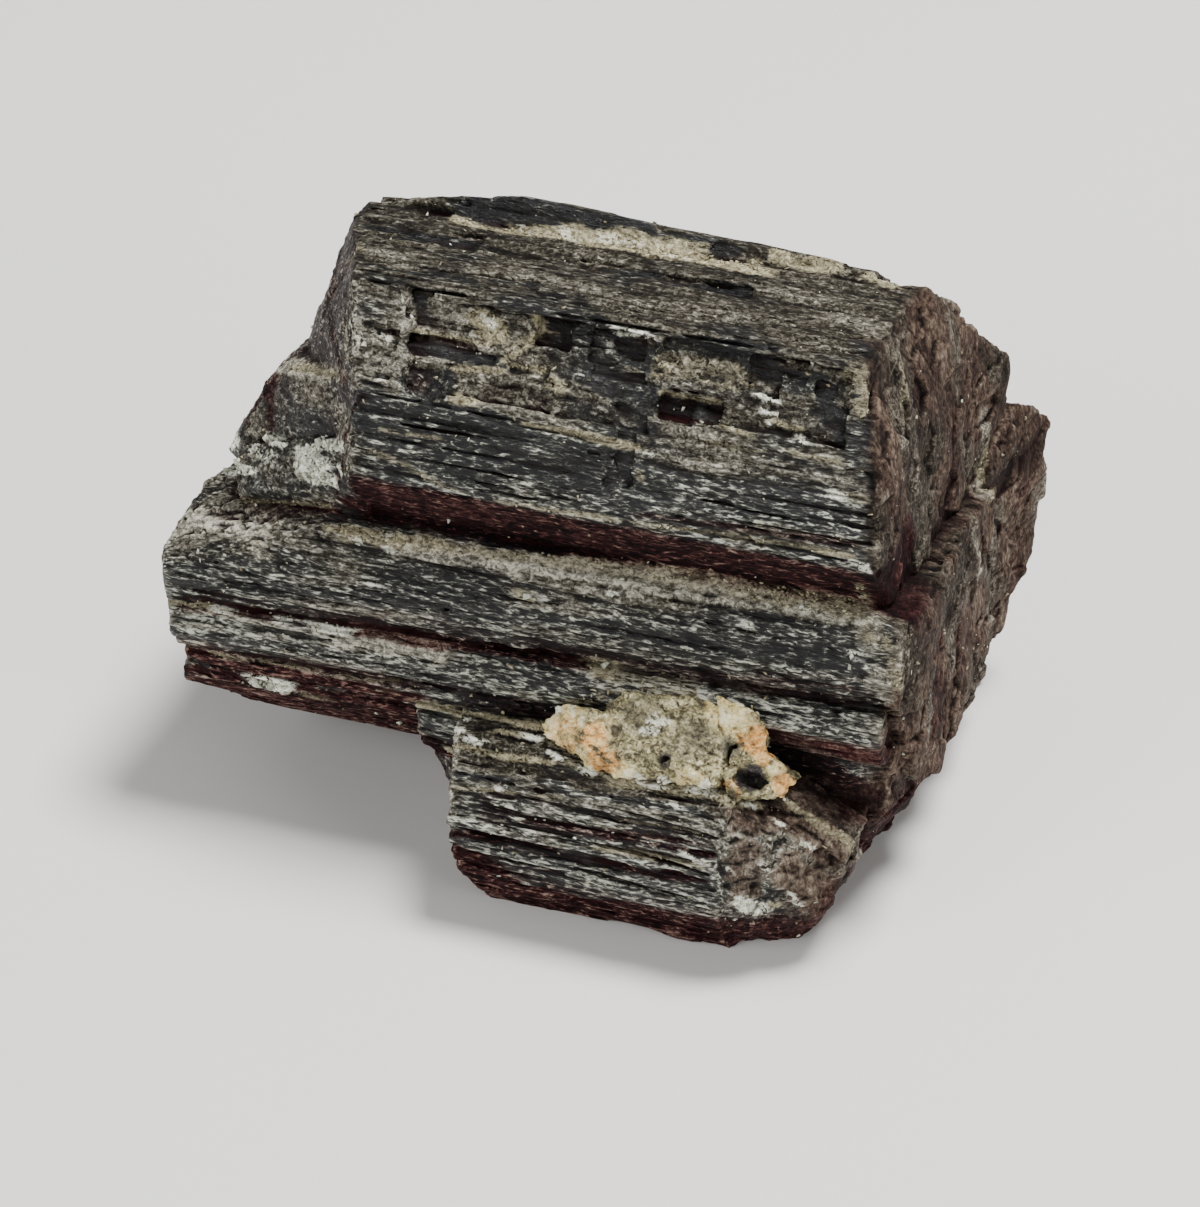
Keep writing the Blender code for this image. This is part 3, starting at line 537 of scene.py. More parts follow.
        (-7, 5, 6.3, 11.6, 7.9, -0.1, 1.05, 1),
        (-5.7, 6.5, 2.6, 15.5, 9.4, -0.7, 1.5, 1),
        (-22.5, 27.3, 43, -18.8, 17.9, 39.4, 0.75, 0.7),
        (22.1, 20.9, 38.2, 25.2, 16.8, 26.3, 1.35, 0.25),
        (4.8, 14, 35.3, 21, 14.4, 36, 0.3, 0.6),
        (27.2, 44.2, 23.2, 27.1, 43.9, 19, 1.05, 0.4),
        (26.7, 44.7, 12.2, 26.4, 45.4, 5.9, 0.67, 0.4),
        (25.6, 22.5, 20.8, 25.6, 22.3, 13.5, 1.5, 0.6),
        (25.8, 28.1, 21.1, 26.2, 30.5, 10.3, 1.05, 0.4),
        (23.2, 32.4, 36.3, 24.4, 31, 26.3, 0.6, 0.3),
        (25.1, 19.9, 27.6, 26.1, 35.4, 11.3, 0.75, 0.25),
        (-1.8, 5.5, 11.1, 12, 5.7, 12.3, 0.3, 0.7),
        (-29.7, 12.8, 13.7, -12, 12.8, 14.2, 0.75, 0.9),
        (1.8, 5.5, 11.2, 13, 5.5, 11.6, 0.22, 0.8),
        (-7, 5, 8.7, 0.9, 5, 9, 0.38, 0.9),
        (3.9, 5, 8.8, 12.7, 5, 9.4, 0.38, 0.9),
        (-26.4, 21.9, 34.8, -28.7, 22.3, 29.7, 0.67, 0.8),
    ],
    "brown": [
        (15.1, 8.2, 13.9, 18.5, 9.8, 13.5, 1.65, 0.75),
        (18.6, 9.5, 12.8, 21.4, 9.3, 11.2, 1.5, 0.85),
        (15.3, 6.4, 12, 15.5, 5.8, 8.1, 1.2, 0.7),
        (18.4, 7.5, 9.9, 20.6, 8.6, 6.5, 1.5, 0.85),
        (15.8, 12.3, 18.5, 22, 13.1, 16.9, 1.35, 0.65),
        (17.5, 10.5, 14.6, 21.8, 11.6, 12.8, 1.2, 0.7),
        (19.7, 23.9, 46.1, 21.8, 19.1, 39.5, 0.9, 0.6),
        (21.9, 17.4, 38.1, 23, 19.5, 28.4, 0.9, 0.5),
    ],
}

def middle(axis):
    values = [corner[axis] for corners in [*CRYSTALS.values(), MATRIX] for corner in corners]
    return (min(values) + max(values)) / 2


SHIFT = np.array([middle(0), middle(1), 0.0])


def face_frame(face):
    """The lower edge's point, the direction up the face and the direction out of it, in (s, q, z)."""
    low, high = (np.array([0.0, *edge]) for edge in FACES[face])
    up = (high - low) / np.linalg.norm(high - low)
    return low, up, np.array([0.0, -up[2], up[1]])


def on_face(face, s, t, out=0.0):
    low, up, away = face_frame(face)
    return np.array([s, 0.0, 0.0]) + low + up * t + away * out


# ---------------------------------------------------------------- noise
SIZE = 64
TABLES = np.random.default_rng(1880).random((8, SIZE, SIZE, SIZE), np.float32)


def lattice(table, i, j, k):
    return table[i & (SIZE - 1), j & (SIZE - 1), k & (SIZE - 1)]


def turned(p, degrees):
    """Points turned about the prisms' axis, so that lattice rows don't follow q and z."""
    a = math.radians(degrees)
    return p[0], p[1] * math.cos(a) - p[2] * math.sin(a), p[1] * math.sin(a) + p[2] * math.cos(a)


def noise(p, cell, seed, turn=True):
    """Smooth noise from -1 to 1 with cells of (along, across, up) millimetres."""
    table = TABLES[seed % 8]
    if turn:
        p = turned(p, 23 + 37 * seed)
    whole, part = [], []
    for axis in range(3):
        u = p[axis] / np.float32(cell[axis]) + np.float32(11.37 * (seed + 1) * (axis + 1))
        w = np.floor(u)
        f = (u - w).astype(np.float32)
        whole.append(w.astype(np.int32))
        part.append(f * f * (3 - 2 * f))
    (i, j, k), (a, b, c) = whole, part
    near = lattice(table, i, j, k) * (1 - a) + lattice(table, i + 1, j, k) * a
    right = lattice(table, i, j + 1, k) * (1 - a) + lattice(table, i + 1, j + 1, k) * a
    low = near * (1 - b) + right * b
    near = lattice(table, i, j, k + 1) * (1 - a) + lattice(table, i + 1, j, k + 1) * a
    right = lattice(table, i, j + 1, k + 1) * (1 - a) + lattice(table, i + 1, j + 1, k + 1) * a
    high = near * (1 - b) + right * b
    return (low * (1 - c) + high * c) * 2 - 1


def smoothstep(low, high, x):
    t = np.clip((x - low) / (high - low), 0, 1)
    return t * t * (3 - 2 * t)


def worley(p, cell, seed):
    """Distances to the nearest and second nearest of scattered points, in cells, and the nearest one's number."""
    table = TABLES[seed % 8]
    u = [(p[axis] / np.float32(cell[axis]) + np.float32(7.7 * (seed + 1 + axis))).astype(np.float32) for axis in range(3)]
    w = [np.floor(x).astype(np.int32) for x in u]
    first = np.full(u[0].shape, 9.0, np.float32)
    second = first.copy()
    number = np.zeros(u[0].shape, np.float32)
    for di in (-1, 0, 1):
        for dj in (-1, 0, 1):
            for dk in (-1, 0, 1):
                i, j, k = w[0] + di, w[1] + dj, w[2] + dk
                a, b, c = lattice(table, i, j, k), lattice(table, i + 19, j + 7, k), lattice(table, i, j + 23, k + 11)
                d = np.sqrt((i + a - u[0]) ** 2 + (j + b - u[1]) ** 2 + (k + c - u[2]) ** 2)
                nearer = d < first
                second = np.where(nearer, first, np.minimum(second, d))
                number = np.where(nearer, lattice(table, i + 5, j + 31, k + 3), number)
                first = np.minimum(first, d)
    return first, second, number


# ---------------------------------------------------------------- distance fields
def planes_of(corners):
    """Unit normals and offsets of the convex hull's faces, those that face nearly the same way together."""
    bm = bmesh.new()
    verts = [bm.verts.new(corner) for corner in corners]
    made = bmesh.ops.convex_hull(bm, input=verts)
    loose = {item for item in made["geom_interior"] + made["geom_unused"] if isinstance(item, bmesh.types.BMVert)}
    bmesh.ops.delete(bm, geom=list(loose), context="VERTS")
    bmesh.ops.recalc_face_normals(bm, faces=bm.faces)
    bm.normal_update()
    found = {}
    for face in bm.faces:
        n = face.normal
        offset = n.dot(face.verts[0].co)
        found[tuple(round(x, 2) for x in (*n, offset))] = (*n, offset)
    bm.free()
    sides = []
    for plane in found.values():
        alike = [side for side in sides if np.dot(side[0][:3], plane[:3]) > 0.955]
        if alike:
            alike[0].append(plane)
        else:
            sides.append([plane])
    return sides


class Grid:
    """A signed distance on a box of cells: negative inside the stone."""

    def __init__(self, low, high, step):
        self.step = np.array(step, np.float32)
        self.axes = [np.arange(a, b, d, dtype=np.float32) for a, b, d in zip(low, high, step)]
        self.low = np.array([axis[0] for axis in self.axes])
        self.shape = tuple(len(axis) for axis in self.axes)
        self.field = np.full(self.shape, 9.0, np.float32)
        self.end = np.zeros(self.shape, np.float32)  # 1 on faces across the prisms, 0 on faces along them
        self.rim = np.full(self.shape, 9.0, np.float32)  # how far from a crystal's edge

    def part(self, corners, margin):
        c = np.array(corners)
        pieces = []
        for axis, low, high in zip(self.axes, c.min(0) - margin, c.max(0) + margin):
            a, b = np.searchsorted(axis, low), np.searchsorted(axis, high)
            pieces.append(slice(a, max(b, a)))
        return tuple(pieces)

    def hull(self, corners, sides, margin=1.8):
        where = self.part(corners, margin)
        s, q, z = (axis[piece] for axis, piece in zip(self.axes, where))
        best = np.full((len(s), len(q), len(z)), -99.0, np.float32)
        second = best.copy()
        end = np.zeros_like(best)
        for side in sides:
            distance = None
            for a, b, c, offset in side:
                plane = (a * s)[:, None, None] + (b * q)[None, :, None] + (c * z - offset)[None, None, :]
                distance = plane if distance is None else np.maximum(distance, plane)
            over = distance > best
            second = np.where(over, best, np.maximum(second, distance))
            end[over] = smoothstep(0.30, 0.75, abs(side[0][0]))
            np.maximum(best, distance, out=best)
        return where, best, end, best - second

    def add(self, corners, sides, broken=0.0):
        where, best, end, rim = self.hull(corners, sides)
        end = np.maximum(end, broken)
        mine = best < self.field[where]
        self.field[where][mine] = best[mine]
        self.end[where][mine] = end[mine]
        self.rim[where][mine] = rim[mine]

    def cut(self, corners, sides, rough, ragged=0.0, seed=0):
        where, best, _, _ = self.hull(corners, sides)
        if ragged and best.size:
            p = np.meshgrid(*(axis[piece] for axis, piece in zip(self.axes, where)), indexing="ij")
            best += ragged * noise(p, (1.6, 0.9, 0.9), seed) + 0.4 * ragged * noise(p, (0.7, 0.4, 0.4), seed + 1)
        mine = -best > self.field[where]
        self.field[where][mine] = -best[mine]
        self.end[where][mine] = rough
        self.rim[where][mine] = 9.0

    def band(self, reach):
        index = np.nonzero(np.abs(self.field) < reach)
        return index, [axis[i] for axis, i in zip(self.axes, index)]

    def blurred(self, radii, clip=1.2):
        """The field, clamped near the surface, averaged over a box of these radii in cells."""
        f = np.clip(self.field, -clip, clip)
        for axis, r in enumerate(radii):
            f = np.moveaxis(f, axis, 0)
            padded = np.concatenate([np.repeat(f[:1], r + 1, 0), f, np.repeat(f[-1:], r, 0)])
            total = np.cumsum(padded, 0, dtype=np.float64)
            f = np.moveaxis(((total[2 * r + 1 :] - total[: -2 * r - 1]) / (2 * r + 1)).astype(np.float32), 0, axis)
        return f

    def sample(self, field, points):
        """A field's value at points in millimetres, by trilinear interpolation."""
        u = np.clip((points - self.low) / self.step, 0, np.array(self.shape) - 1.001)
        i = np.floor(u).astype(np.int64)
        f = u - i
        out = np.zeros(len(points))
        for corner in range(8):
            o = [(corner >> b) & 1 for b in range(3)]
            w = np.prod([f[:, b] if o[b] else 1 - f[:, b] for b in range(3)], 0)
            out += w * field[i[:, 0] + o[0], i[:, 1] + o[1], i[:, 2] + o[2]]
        return out

    def mesh(self):
        grid = openvdb.FloatGrid(background=9.0)
        grid.copyFromArray(np.ascontiguousarray(self.field))
        points, quads = grid.convertToQuads(isovalue=0.0)
        return points * self.step + self.low, quads[:, ::-1]


def pit_corners(face, s0, s1, t0, t1, depth, lean):
    corners = []
    for s in (s0, s1):
        for t, out in ((t0, 3.0), (t1, 3.0), (t0, -depth * (1 - lean)), (t1, -depth)):
            corners.append(on_face(face, s, t, out))
    return corners


def crack_corners(face, s0, t0, s1, t1, width, depth):
    corners = []
    for s, t, w in ((s0, t0, 0.3), (s0 * 0.8 + s1 * 0.2, t0 * 0.8 + t1 * 0.2, 1.0), (s0 * 0.3 + s1 * 0.7, t0 * 0.3 + t1 * 0.7, 1.0), (s1, t1, 0.3)):
        half = width * w / 2 * (1 + 1.2 / (depth * w))
        corners += [on_face(face, s, t - half, 1.2), on_face(face, s, t + half, 1.2), on_face(face, s, t, -depth * w)]
    return corners


def hole_corners(face, s, t, wide, tall, depth):
    corners = []
    for step in range(10):
        a = step * math.tau / 10
        x, y = wide * math.cos(a), tall * math.sin(a)
        corners += [on_face(face, s + 1.15 * x, t + 1.15 * y, 3.0), on_face(face, s + x, t + y, -0.4 * depth), on_face(face, s + 0.6 * x, t + 0.6 * y, -depth)]
    return corners


def shape(corners):
    return corners, planes_of(corners)


def needles(grid, width, seed, spin):
    """The bundle of parallel needles that the crystals are, as cells on the (q, z) section: each cell's number, distance to its border and to its middle."""
    table = TABLES[seed % 8]
    q, z = grid.axes[1][:, None], grid.axes[2][None, :]
    a = math.radians(spin)
    u = (q * math.cos(a) - z * math.sin(a)) / width + 50.3 + seed
    v = (q * math.sin(a) + z * math.cos(a)) / width + 70.1 - seed
    i0, j0 = np.floor(u).astype(np.int32), np.floor(v).astype(np.int32)
    first = np.full(u.shape, 9.0, np.float32)
    second = first.copy()
    number = np.zeros(u.shape, np.int32)
    du, dv = first.copy(), first.copy()
    for di in (-1, 0, 1):
        for dj in (-1, 0, 1):
            i, j = i0 + di, j0 + dj
            x = i + lattice(table, i, j, j * 0 + 3) - u
            y = j + lattice(table, i, j, j * 0 + 7) - v
            d = np.sqrt(x * x + y * y)
            nearer = d < first
            second = np.where(nearer, first, np.minimum(second, d))
            number = np.where(nearer, (i & 63) + 64 * (j & 63), number)
            du, dv = np.where(nearer, x, du), np.where(nearer, y, dv)
            first = np.minimum(first, d)
    return number, ((second - first) * width / 2).astype(np.float32), (du * width).astype(np.float32), (dv * width).astype(np.float32)


def by_needle(grid, index, s, width, length, seed, spin):
    """For each point: its needle's level in that stretch, distance to the needle's border, and how its broken end leans."""
    number, border, du, dv = needles(grid, width, seed, spin)
    _, j, k = index
    n = number[j, k]
    table = TABLES[(seed + 3) % 8]
    lane, row = n & 63, n >> 6
    along = s / np.float32(length) + 40 + 13 * lattice(table, lane, row, row * 0 + 9)
    stretch = np.floor(along).astype(np.int32)
    level = lattice(table, lane, row, stretch) * 2 - 1
    whole = lattice(table, lane, row, row * 0 + 40) * 2 - 1
    lean = du[j, k] * (lattice(table, lane, row, row * 0 + 50) * 2 - 1) + dv[j, k] * (lattice(table, lane, row, row * 0 + 51) * 2 - 1)
    return level, whole, border[j, k], lean


def roughened(grid):
    """Moves the surface in and out: fine striations along the prisms, broken texture across them."""
    index, p = grid.band(1.15)
    end = grid.end[index]
    rim = grid.rim[index]
    s, q, z = p
    # the needles of the lowest prism break off raggedly at its right end
    frayed = smoothstep(12.2, 14.0, s + 1.1 * noise(p, (2.2, 0.7, 0.7), 2)) * smoothstep(9.5, 8.5, q) * smoothstep(16.6, 15.8, z)
    end = np.maximum(end, 0.8 * frayed)
    grid.end[index] = end
    side = 0.11 * noise(p, (17, 3.2, 3.2), 0) + 0.07 * noise(p, (7, 1.2, 1.2), 1)
    broken = np.zeros_like(side)
    ribbed = smoothstep(9.5, 7.5, q) * smoothstep(14.5, 13.0, s)  # the lowest prism is deeply ribbed
    calm = 1 - 0.5 * smoothstep(44.8, 45.6, z)  # the top is dusty and smoother
    long_gaps = np.clip(0.60 + 1.1 * noise(p, (6.0, 1.0, 1.0), 3), 0.05, 1.3) * calm
    short_gaps = np.clip(0.55 + 1.1 * noise(p, (2.4, 0.6, 0.6), 6), 0.0, 1.3) * calm
    for width, length, level, gap, gap_width, tall, seed, spin in (
        (2.6, 21.0, 0.060, 0.12, 0.20, 0.26, 0, 11),
        (1.15, 7.5, 0.065, 0.20, 0.16, 0.10, 1, 37),
        (0.62, 3.8, 0.055, 0.17, 0.15, 0.02, 2, 71),
        (0.34, 2.0, 0.040, 0.09, 0.11, 0.0, 3, 19),
    ):
        steps, whole, border, _ = by_needle(grid, index, s, width, length, seed, spin)
        groove = smoothstep(gap_width, 0, border)
        side += level * steps + gap * groove * (1 + 0.8 * ribbed) * (long_gaps if width > 0.8 else short_gaps)
        broken += tall * whole
    # the right end is a torn surface with upright grain, the other broken ones are sugary
    rest = np.nonzero(end > 0.12)[0]
    r = tuple(x[rest] for x in p)
    torn = 0.36 * noise(r, (2.8, 2.6, 5.0), 5, False) + 0.15 * noise(r, (1.3, 1.0, 2.4), 6, False) + 0.05 * noise(r, (0.7, 0.55, 1.2), 7, False)
    near, _, number = worley(r, (1.3, 1.0, 1.0), 3)
    near2, _, number2 = worley(r, (0.6, 0.5, 0.5), 6)
    sugar = 0.16 * (number - 0.5) + 0.16 * (near - 0.5) + 0.10 * (number2 - 0.5) + 0.14 * (near2 - 0.5) + 0.12 * noise(r, (2.4, 1.8, 1.8), 4)
    right = smoothstep(17.5, 20.5, r[0])
    left = 0.7 * smoothstep(-16.6, -18.4, r[0]) * smoothstep(33.0, 35.0, r[2])
    corner = smoothstep(12.4, 13.6, r[0]) * smoothstep(12.5, 11.0, r[1]) * smoothstep(17.0, 16.0, r[2])
    coarse = 0.45 * noise(r, (3.2, 2.0, 2.4), 1) + 0.25 * noise(r, (1.5, 1.0, 1.2), 5)
    broken[rest] = broken[rest] * (0.35 + 0.65 * right) + torn * np.maximum(right, left) + (sugar * (1 + 0.7 * corner) + coarse * corner) * (1 - np.maximum(right, left))
    # chips: small scoops, more of them near edges
    scoop = noise(p, (1.5, 0.9, 0.9), 3)
    chips = smoothstep(0.42, 0.85, scoop) * (0.05 + 0.24 * smoothstep(0.9, 0.1, rim))
    worn = 0.10 * smoothstep(0.6, 0.0, rim) * (0.3 + 0.7 * end + 0.5 * scoop)
    # the hollow under the upper block is grainy, not striated
    under = smoothstep(17.8, 16.8, q) * smoothstep(34.2, 33.4, z) * smoothstep(26.8, 27.8, z) * smoothstep(-18.4, -17.0, s)
    grain = 0.12 * noise(p, (1.0, 0.8, 0.8), 7) + 0.07 * noise(p, (0.5, 0.42, 0.42), 2)
    along = side * (1 - end) * (1 - 0.65 * under)
    move = along + broken * end + (chips + worn) * (1 - 0.5 * end) + grain * np.maximum(under, end * 0.3)
    grid.field[index] += move.astype(np.float32)
    # threads and blades too thin to hold are gone
    np.maximum(grid.field, grid.blurred((1, 2, 2), 0.6) - 0.13, out=grid.field)


SHAPES = {name: shape(corners) for name, corners in CRYSTALS.items()}
HOLLOWS = [(*shape(pit_corners(face, *pit)), rough) for face, *pit, rough in PITS]
HOLLOWS += [(*shape(hole_corners(*hole)), 1.0) for hole in HOLES]
SLITS = [shape(crack_corners(*crack)) for crack in CRACKS]


def stone_grid(name):
    c = np.array([corner for crystal in GROUPS[name] for corner in CRYSTALS[crystal]])
    low, high = c.min(0) - 1.2, c.max(0) + 1.2
    low[2] = max(low[2], -0.8)
    grid = Grid(low, high, CELL)
    for crystal in GROUPS[name]:
        grid.add(*SHAPES[crystal], BROKEN.get(crystal, 0.0))
    for number, (corners, sides, rough) in enumerate(HOLLOWS):
        grid.cut(corners, sides, rough, 0.24, number % 6)
    roughened(grid)
    for corners, sides in SLITS:
        grid.cut(corners, sides, 0.1, 0.08, 4)
    depth = max(0, int(np.searchsorted(grid.axes[2], 1.6)))
    if depth:
        base = grid.field[:, :, :depth]
        index = np.nonzero(base < 1.5)
        p = [grid.axes[0][index[0]], grid.axes[1][index[1]], np.zeros(len(index[0]), np.float32)]
        lift = np.maximum(0, noise(p, (5, 3, 3), 4)) * 0.45 + np.maximum(0, noise(p, (1.8, 0.9, 0.9), 1)) * 0.22 + np.maximum(0, noise(p, (0.8, 0.5, 0.5), 2)) * 0.1
        base[index] = np.maximum(base[index], lift - grid.axes[2][index[2]])
    return grid, *biggest_part(*grid.mesh())


def biggest_part(points, quads):
    """The surface's largest connected part, which leaves out loose crumbs and sealed bubbles."""
    label = np.arange(len(points))
    edges = np.concatenate([quads[:, [0, 1]], quads[:, [1, 2]], quads[:, [2, 3]]]).astype(np.int64)
    while True:
        before = label.copy()
        low = np.minimum(label[edges[:, 0]], label[edges[:, 1]])
        np.minimum.at(label, edges[:, 0], low)
        np.minimum.at(label, edges[:, 1], low)
        label = label[label]
        if (label == before).all():
            break
    kinds, count = np.unique(label, return_counts=True)
    keep = label == kinds[count.argmax()]
    number = np.cumsum(keep) - 1
    return points[keep], number[quads[keep[quads[:, 0]]]]


# ---------------------------------------------------------------- meshes
def mesh_object(name, points, faces):
    mesh = bpy.data.meshes.new(name)
    mesh.vertices.add(len(points))
    mesh.vertices.foreach_set("co", ((points - SHIFT) * MM).astype(np.float32).ravel())
    sides = faces.shape[1]
    mesh.loops.add(faces.size)
    mesh.loops.foreach_set("vertex_index", faces.astype(np.int32).ravel())
    mesh.polygons.add(len(faces))
    mesh.polygons.foreach_set("loop_start", np.arange(0, faces.size, sides, dtype=np.int32))
    mesh.update(calc_edges=True)
    obj = bpy.data.objects.new(name, mesh)
    bpy.context.scene.collection.objects.link(obj)
    return obj


def thinned(objects, triangles):
    """The objects with their meshes collapsed to about this many triangles each, more where they are detailed."""
    for obj in objects:
        obj.data.calc_loop_triangles()
        modifier = obj.modifiers.new("thin", "DECIMATE")
        modifier.ratio = min(1.0, triangles / len(obj.data.loop_triangles))
        modifier.use_collapse_triangulate = True
    graph = bpy.context.evaluated_depsgraph_get()
    meshes = [bpy.data.meshes.new_from_object(obj.evaluated_get(graph)) for obj in objects]
    for obj, mesh in zip(objects, meshes):
        obj.modifiers.clear()
        old, obj.data = obj.data, mesh
        bpy.data.meshes.remove(old)
        mesh.name = obj.name
    return objects


def places(obj):
    points = np.empty(len(obj.data.vertices) * 3, np.float32)
    obj.data.vertices.foreach_get("co", points)
    return points.reshape(-1, 3) / MM + SHIFT


def give(obj, name, values):
    attribute = obj.data.attributes.new(name, "FLOAT", "POINT")
    attribute.data.foreach_set("value", values.astype(np.float32))


def normals_of(obj):
    found = np.empty(len(obj.data.vertices) * 3, np.float32)
    obj.data.vertex_normals.foreach_get("vector", found)
    return found.reshape(-1, 3)


def bake_map(obj, normals):
    """A UV map for the export: each face laid flat from the side it faces most, the six sides packed without overlap."""
    mesh = obj.data
    corners = np.empty(len(mesh.loops), np.int32)
    mesh.loops.foreach_get("vertex_index", corners)
    start = np.empty(len(mesh.polygons), np.int32)
    mesh.polygons.foreach_get("loop_start", start)
    count = np.empty(len(mesh.polygons), np.int32)
    mesh.polygons.foreach_get("loop_total", count)
    face = np.repeat(np.arange(len(start)), count)
    toward = np.add.reduceat(normals[corners], start)
    axis = np.abs(toward).argmax(1)
    side = axis * 2 + (toward[np.arange(len(axis)), axis] > 0)
    points = places(obj)[corners]
    flat = np.stack([np.where(axis[face] == 0, points[:, 1], points[:, 0]), np.where(axis[face] == 2, points[:, 1], points[:, 2])], 1)
    boxes = []
    for n in range(6):
        mine = flat[side[face] == n]
        if len(mine):
            boxes.append((n, mine.min(0), np.ptp(mine, axis=0) + 0.8))
    boxes.sort(key=lambda b: -b[2][1])
    width = max(b[2].max() for b in boxes)
    while True:
        x = y = row = 0.0
        spots = {}
        for n, low, size in boxes:
            if x + size[0] > width:
                x, y, row = 0.0, y + row, 0.0
            spots[n] = (np.array([x, y]), low)
            x, row = x + size[0], max(row, size[1])
        if y + row <= width:
            break
        width *= 1.02
    uv = np.zeros_like(flat)
    for n, (spot, low) in spots.items():
        mine = side[face] == n
        uv[mine] = (flat[mine] - low + spot + 0.4) / width
    layer = mesh.uv_layers.new(name="OFBake")
    layer.uv.foreach_set("vector", uv.astype(np.float32).ravel())


def stroke_mask(points, wander, marks):
    """How much each point lies under the marks. A mark is a line from one (s, q, z) to another, its half width and its strength.
    Depth doesn't count, so a mark also covers the floor of a pit."""
    mask = np.zeros(len(points))
    for *ends, radius, strength in marks:
        a, b = np.array(ends[:3]), np.array(ends[3:])
        reach = radius + 2.2
        near = np.nonzero(((points > np.minimum(a, b) - reach) & (points < np.maximum(a, b) + reach)).all(1))[0]
        if not len(near):
            continue
        away = np.array([broad.sample(part, (a + b)[None] / 2)[0] for part in slope])
        away /= max(np.linalg.norm(away), 1e-6)
        along = b - a
        along = along - (along @ away) * away
        rest = points[near] - a
        deep = rest @ away
        rest = rest - deep[:, None] * away
        u = np.clip(rest @ along / max(along @ along, 1e-6), 0, 1)
        gap = np.linalg.norm(rest - u[:, None] * along, axis=1)
        gap = gap + wander[near] * min(0.6, 0.45 * radius + 0.08) + 9 * (np.abs(deep) > 3.0)
        soften = min(0.25, 0.4 * radius + 0.04)
        mask[near] = np.maximum(mask[near], strength * smoothstep(radius + soften * 0.7, radius - soften, gap))
    return mask


# ---------------------------------------------------------------- the stone

# A coarse field of the whole stone gives which way each part of it faces, and where its nooks are.
everything = np.array([corner for corners in CRYSTALS.values() for corner in corners])
broad = Grid(everything.min(0) - 3, everything.max(0) + 3, (0.7, 0.6, 0.6))
for name in CRYSTALS:
    broad.add(*SHAPES[name])
for corners, sides, rough in HOLLOWS:
    broad.cut(corners, sides, 0)
soft = broad.blurred((3, 3, 3), 2.5)
slope = np.gradient(soft, *[float(x) for x in broad.step])

with ThreadPoolExecutor(4) as pool:
    made = dict(zip(GROUPS, pool.map(stone_grid, GROUPS)))
grids = {name: grid for name, (grid, _, _) in made.items()}
stones = thinned([mesh_object(name, points, quads) for name, (_, points, quads) in made.items()], TRIANGLES)


def surface_facts(obj):
    points = places(obj)
    facing = np.stack([broad.sample(part, points) for part in slope], 1)
    facing /= np.maximum(np.linalg.norm(facing, axis=1), 1e-6)[:, None]
    return points, facing


def buried(points, own, depth=0.0):
    """Which of a piece's points lie inside another piece of the stone."""
    inside = np.zeros(len(points), bool)
    for name, grid in grids.items():
        if name == own:
            continue
        within = ((points > grid.low) & (points < grid.low + grid.step * (np.array(grid.shape) - 1))).all(1)
        inside[within] |= grid.sample(grid.field, points[within]) < -depth
    return inside


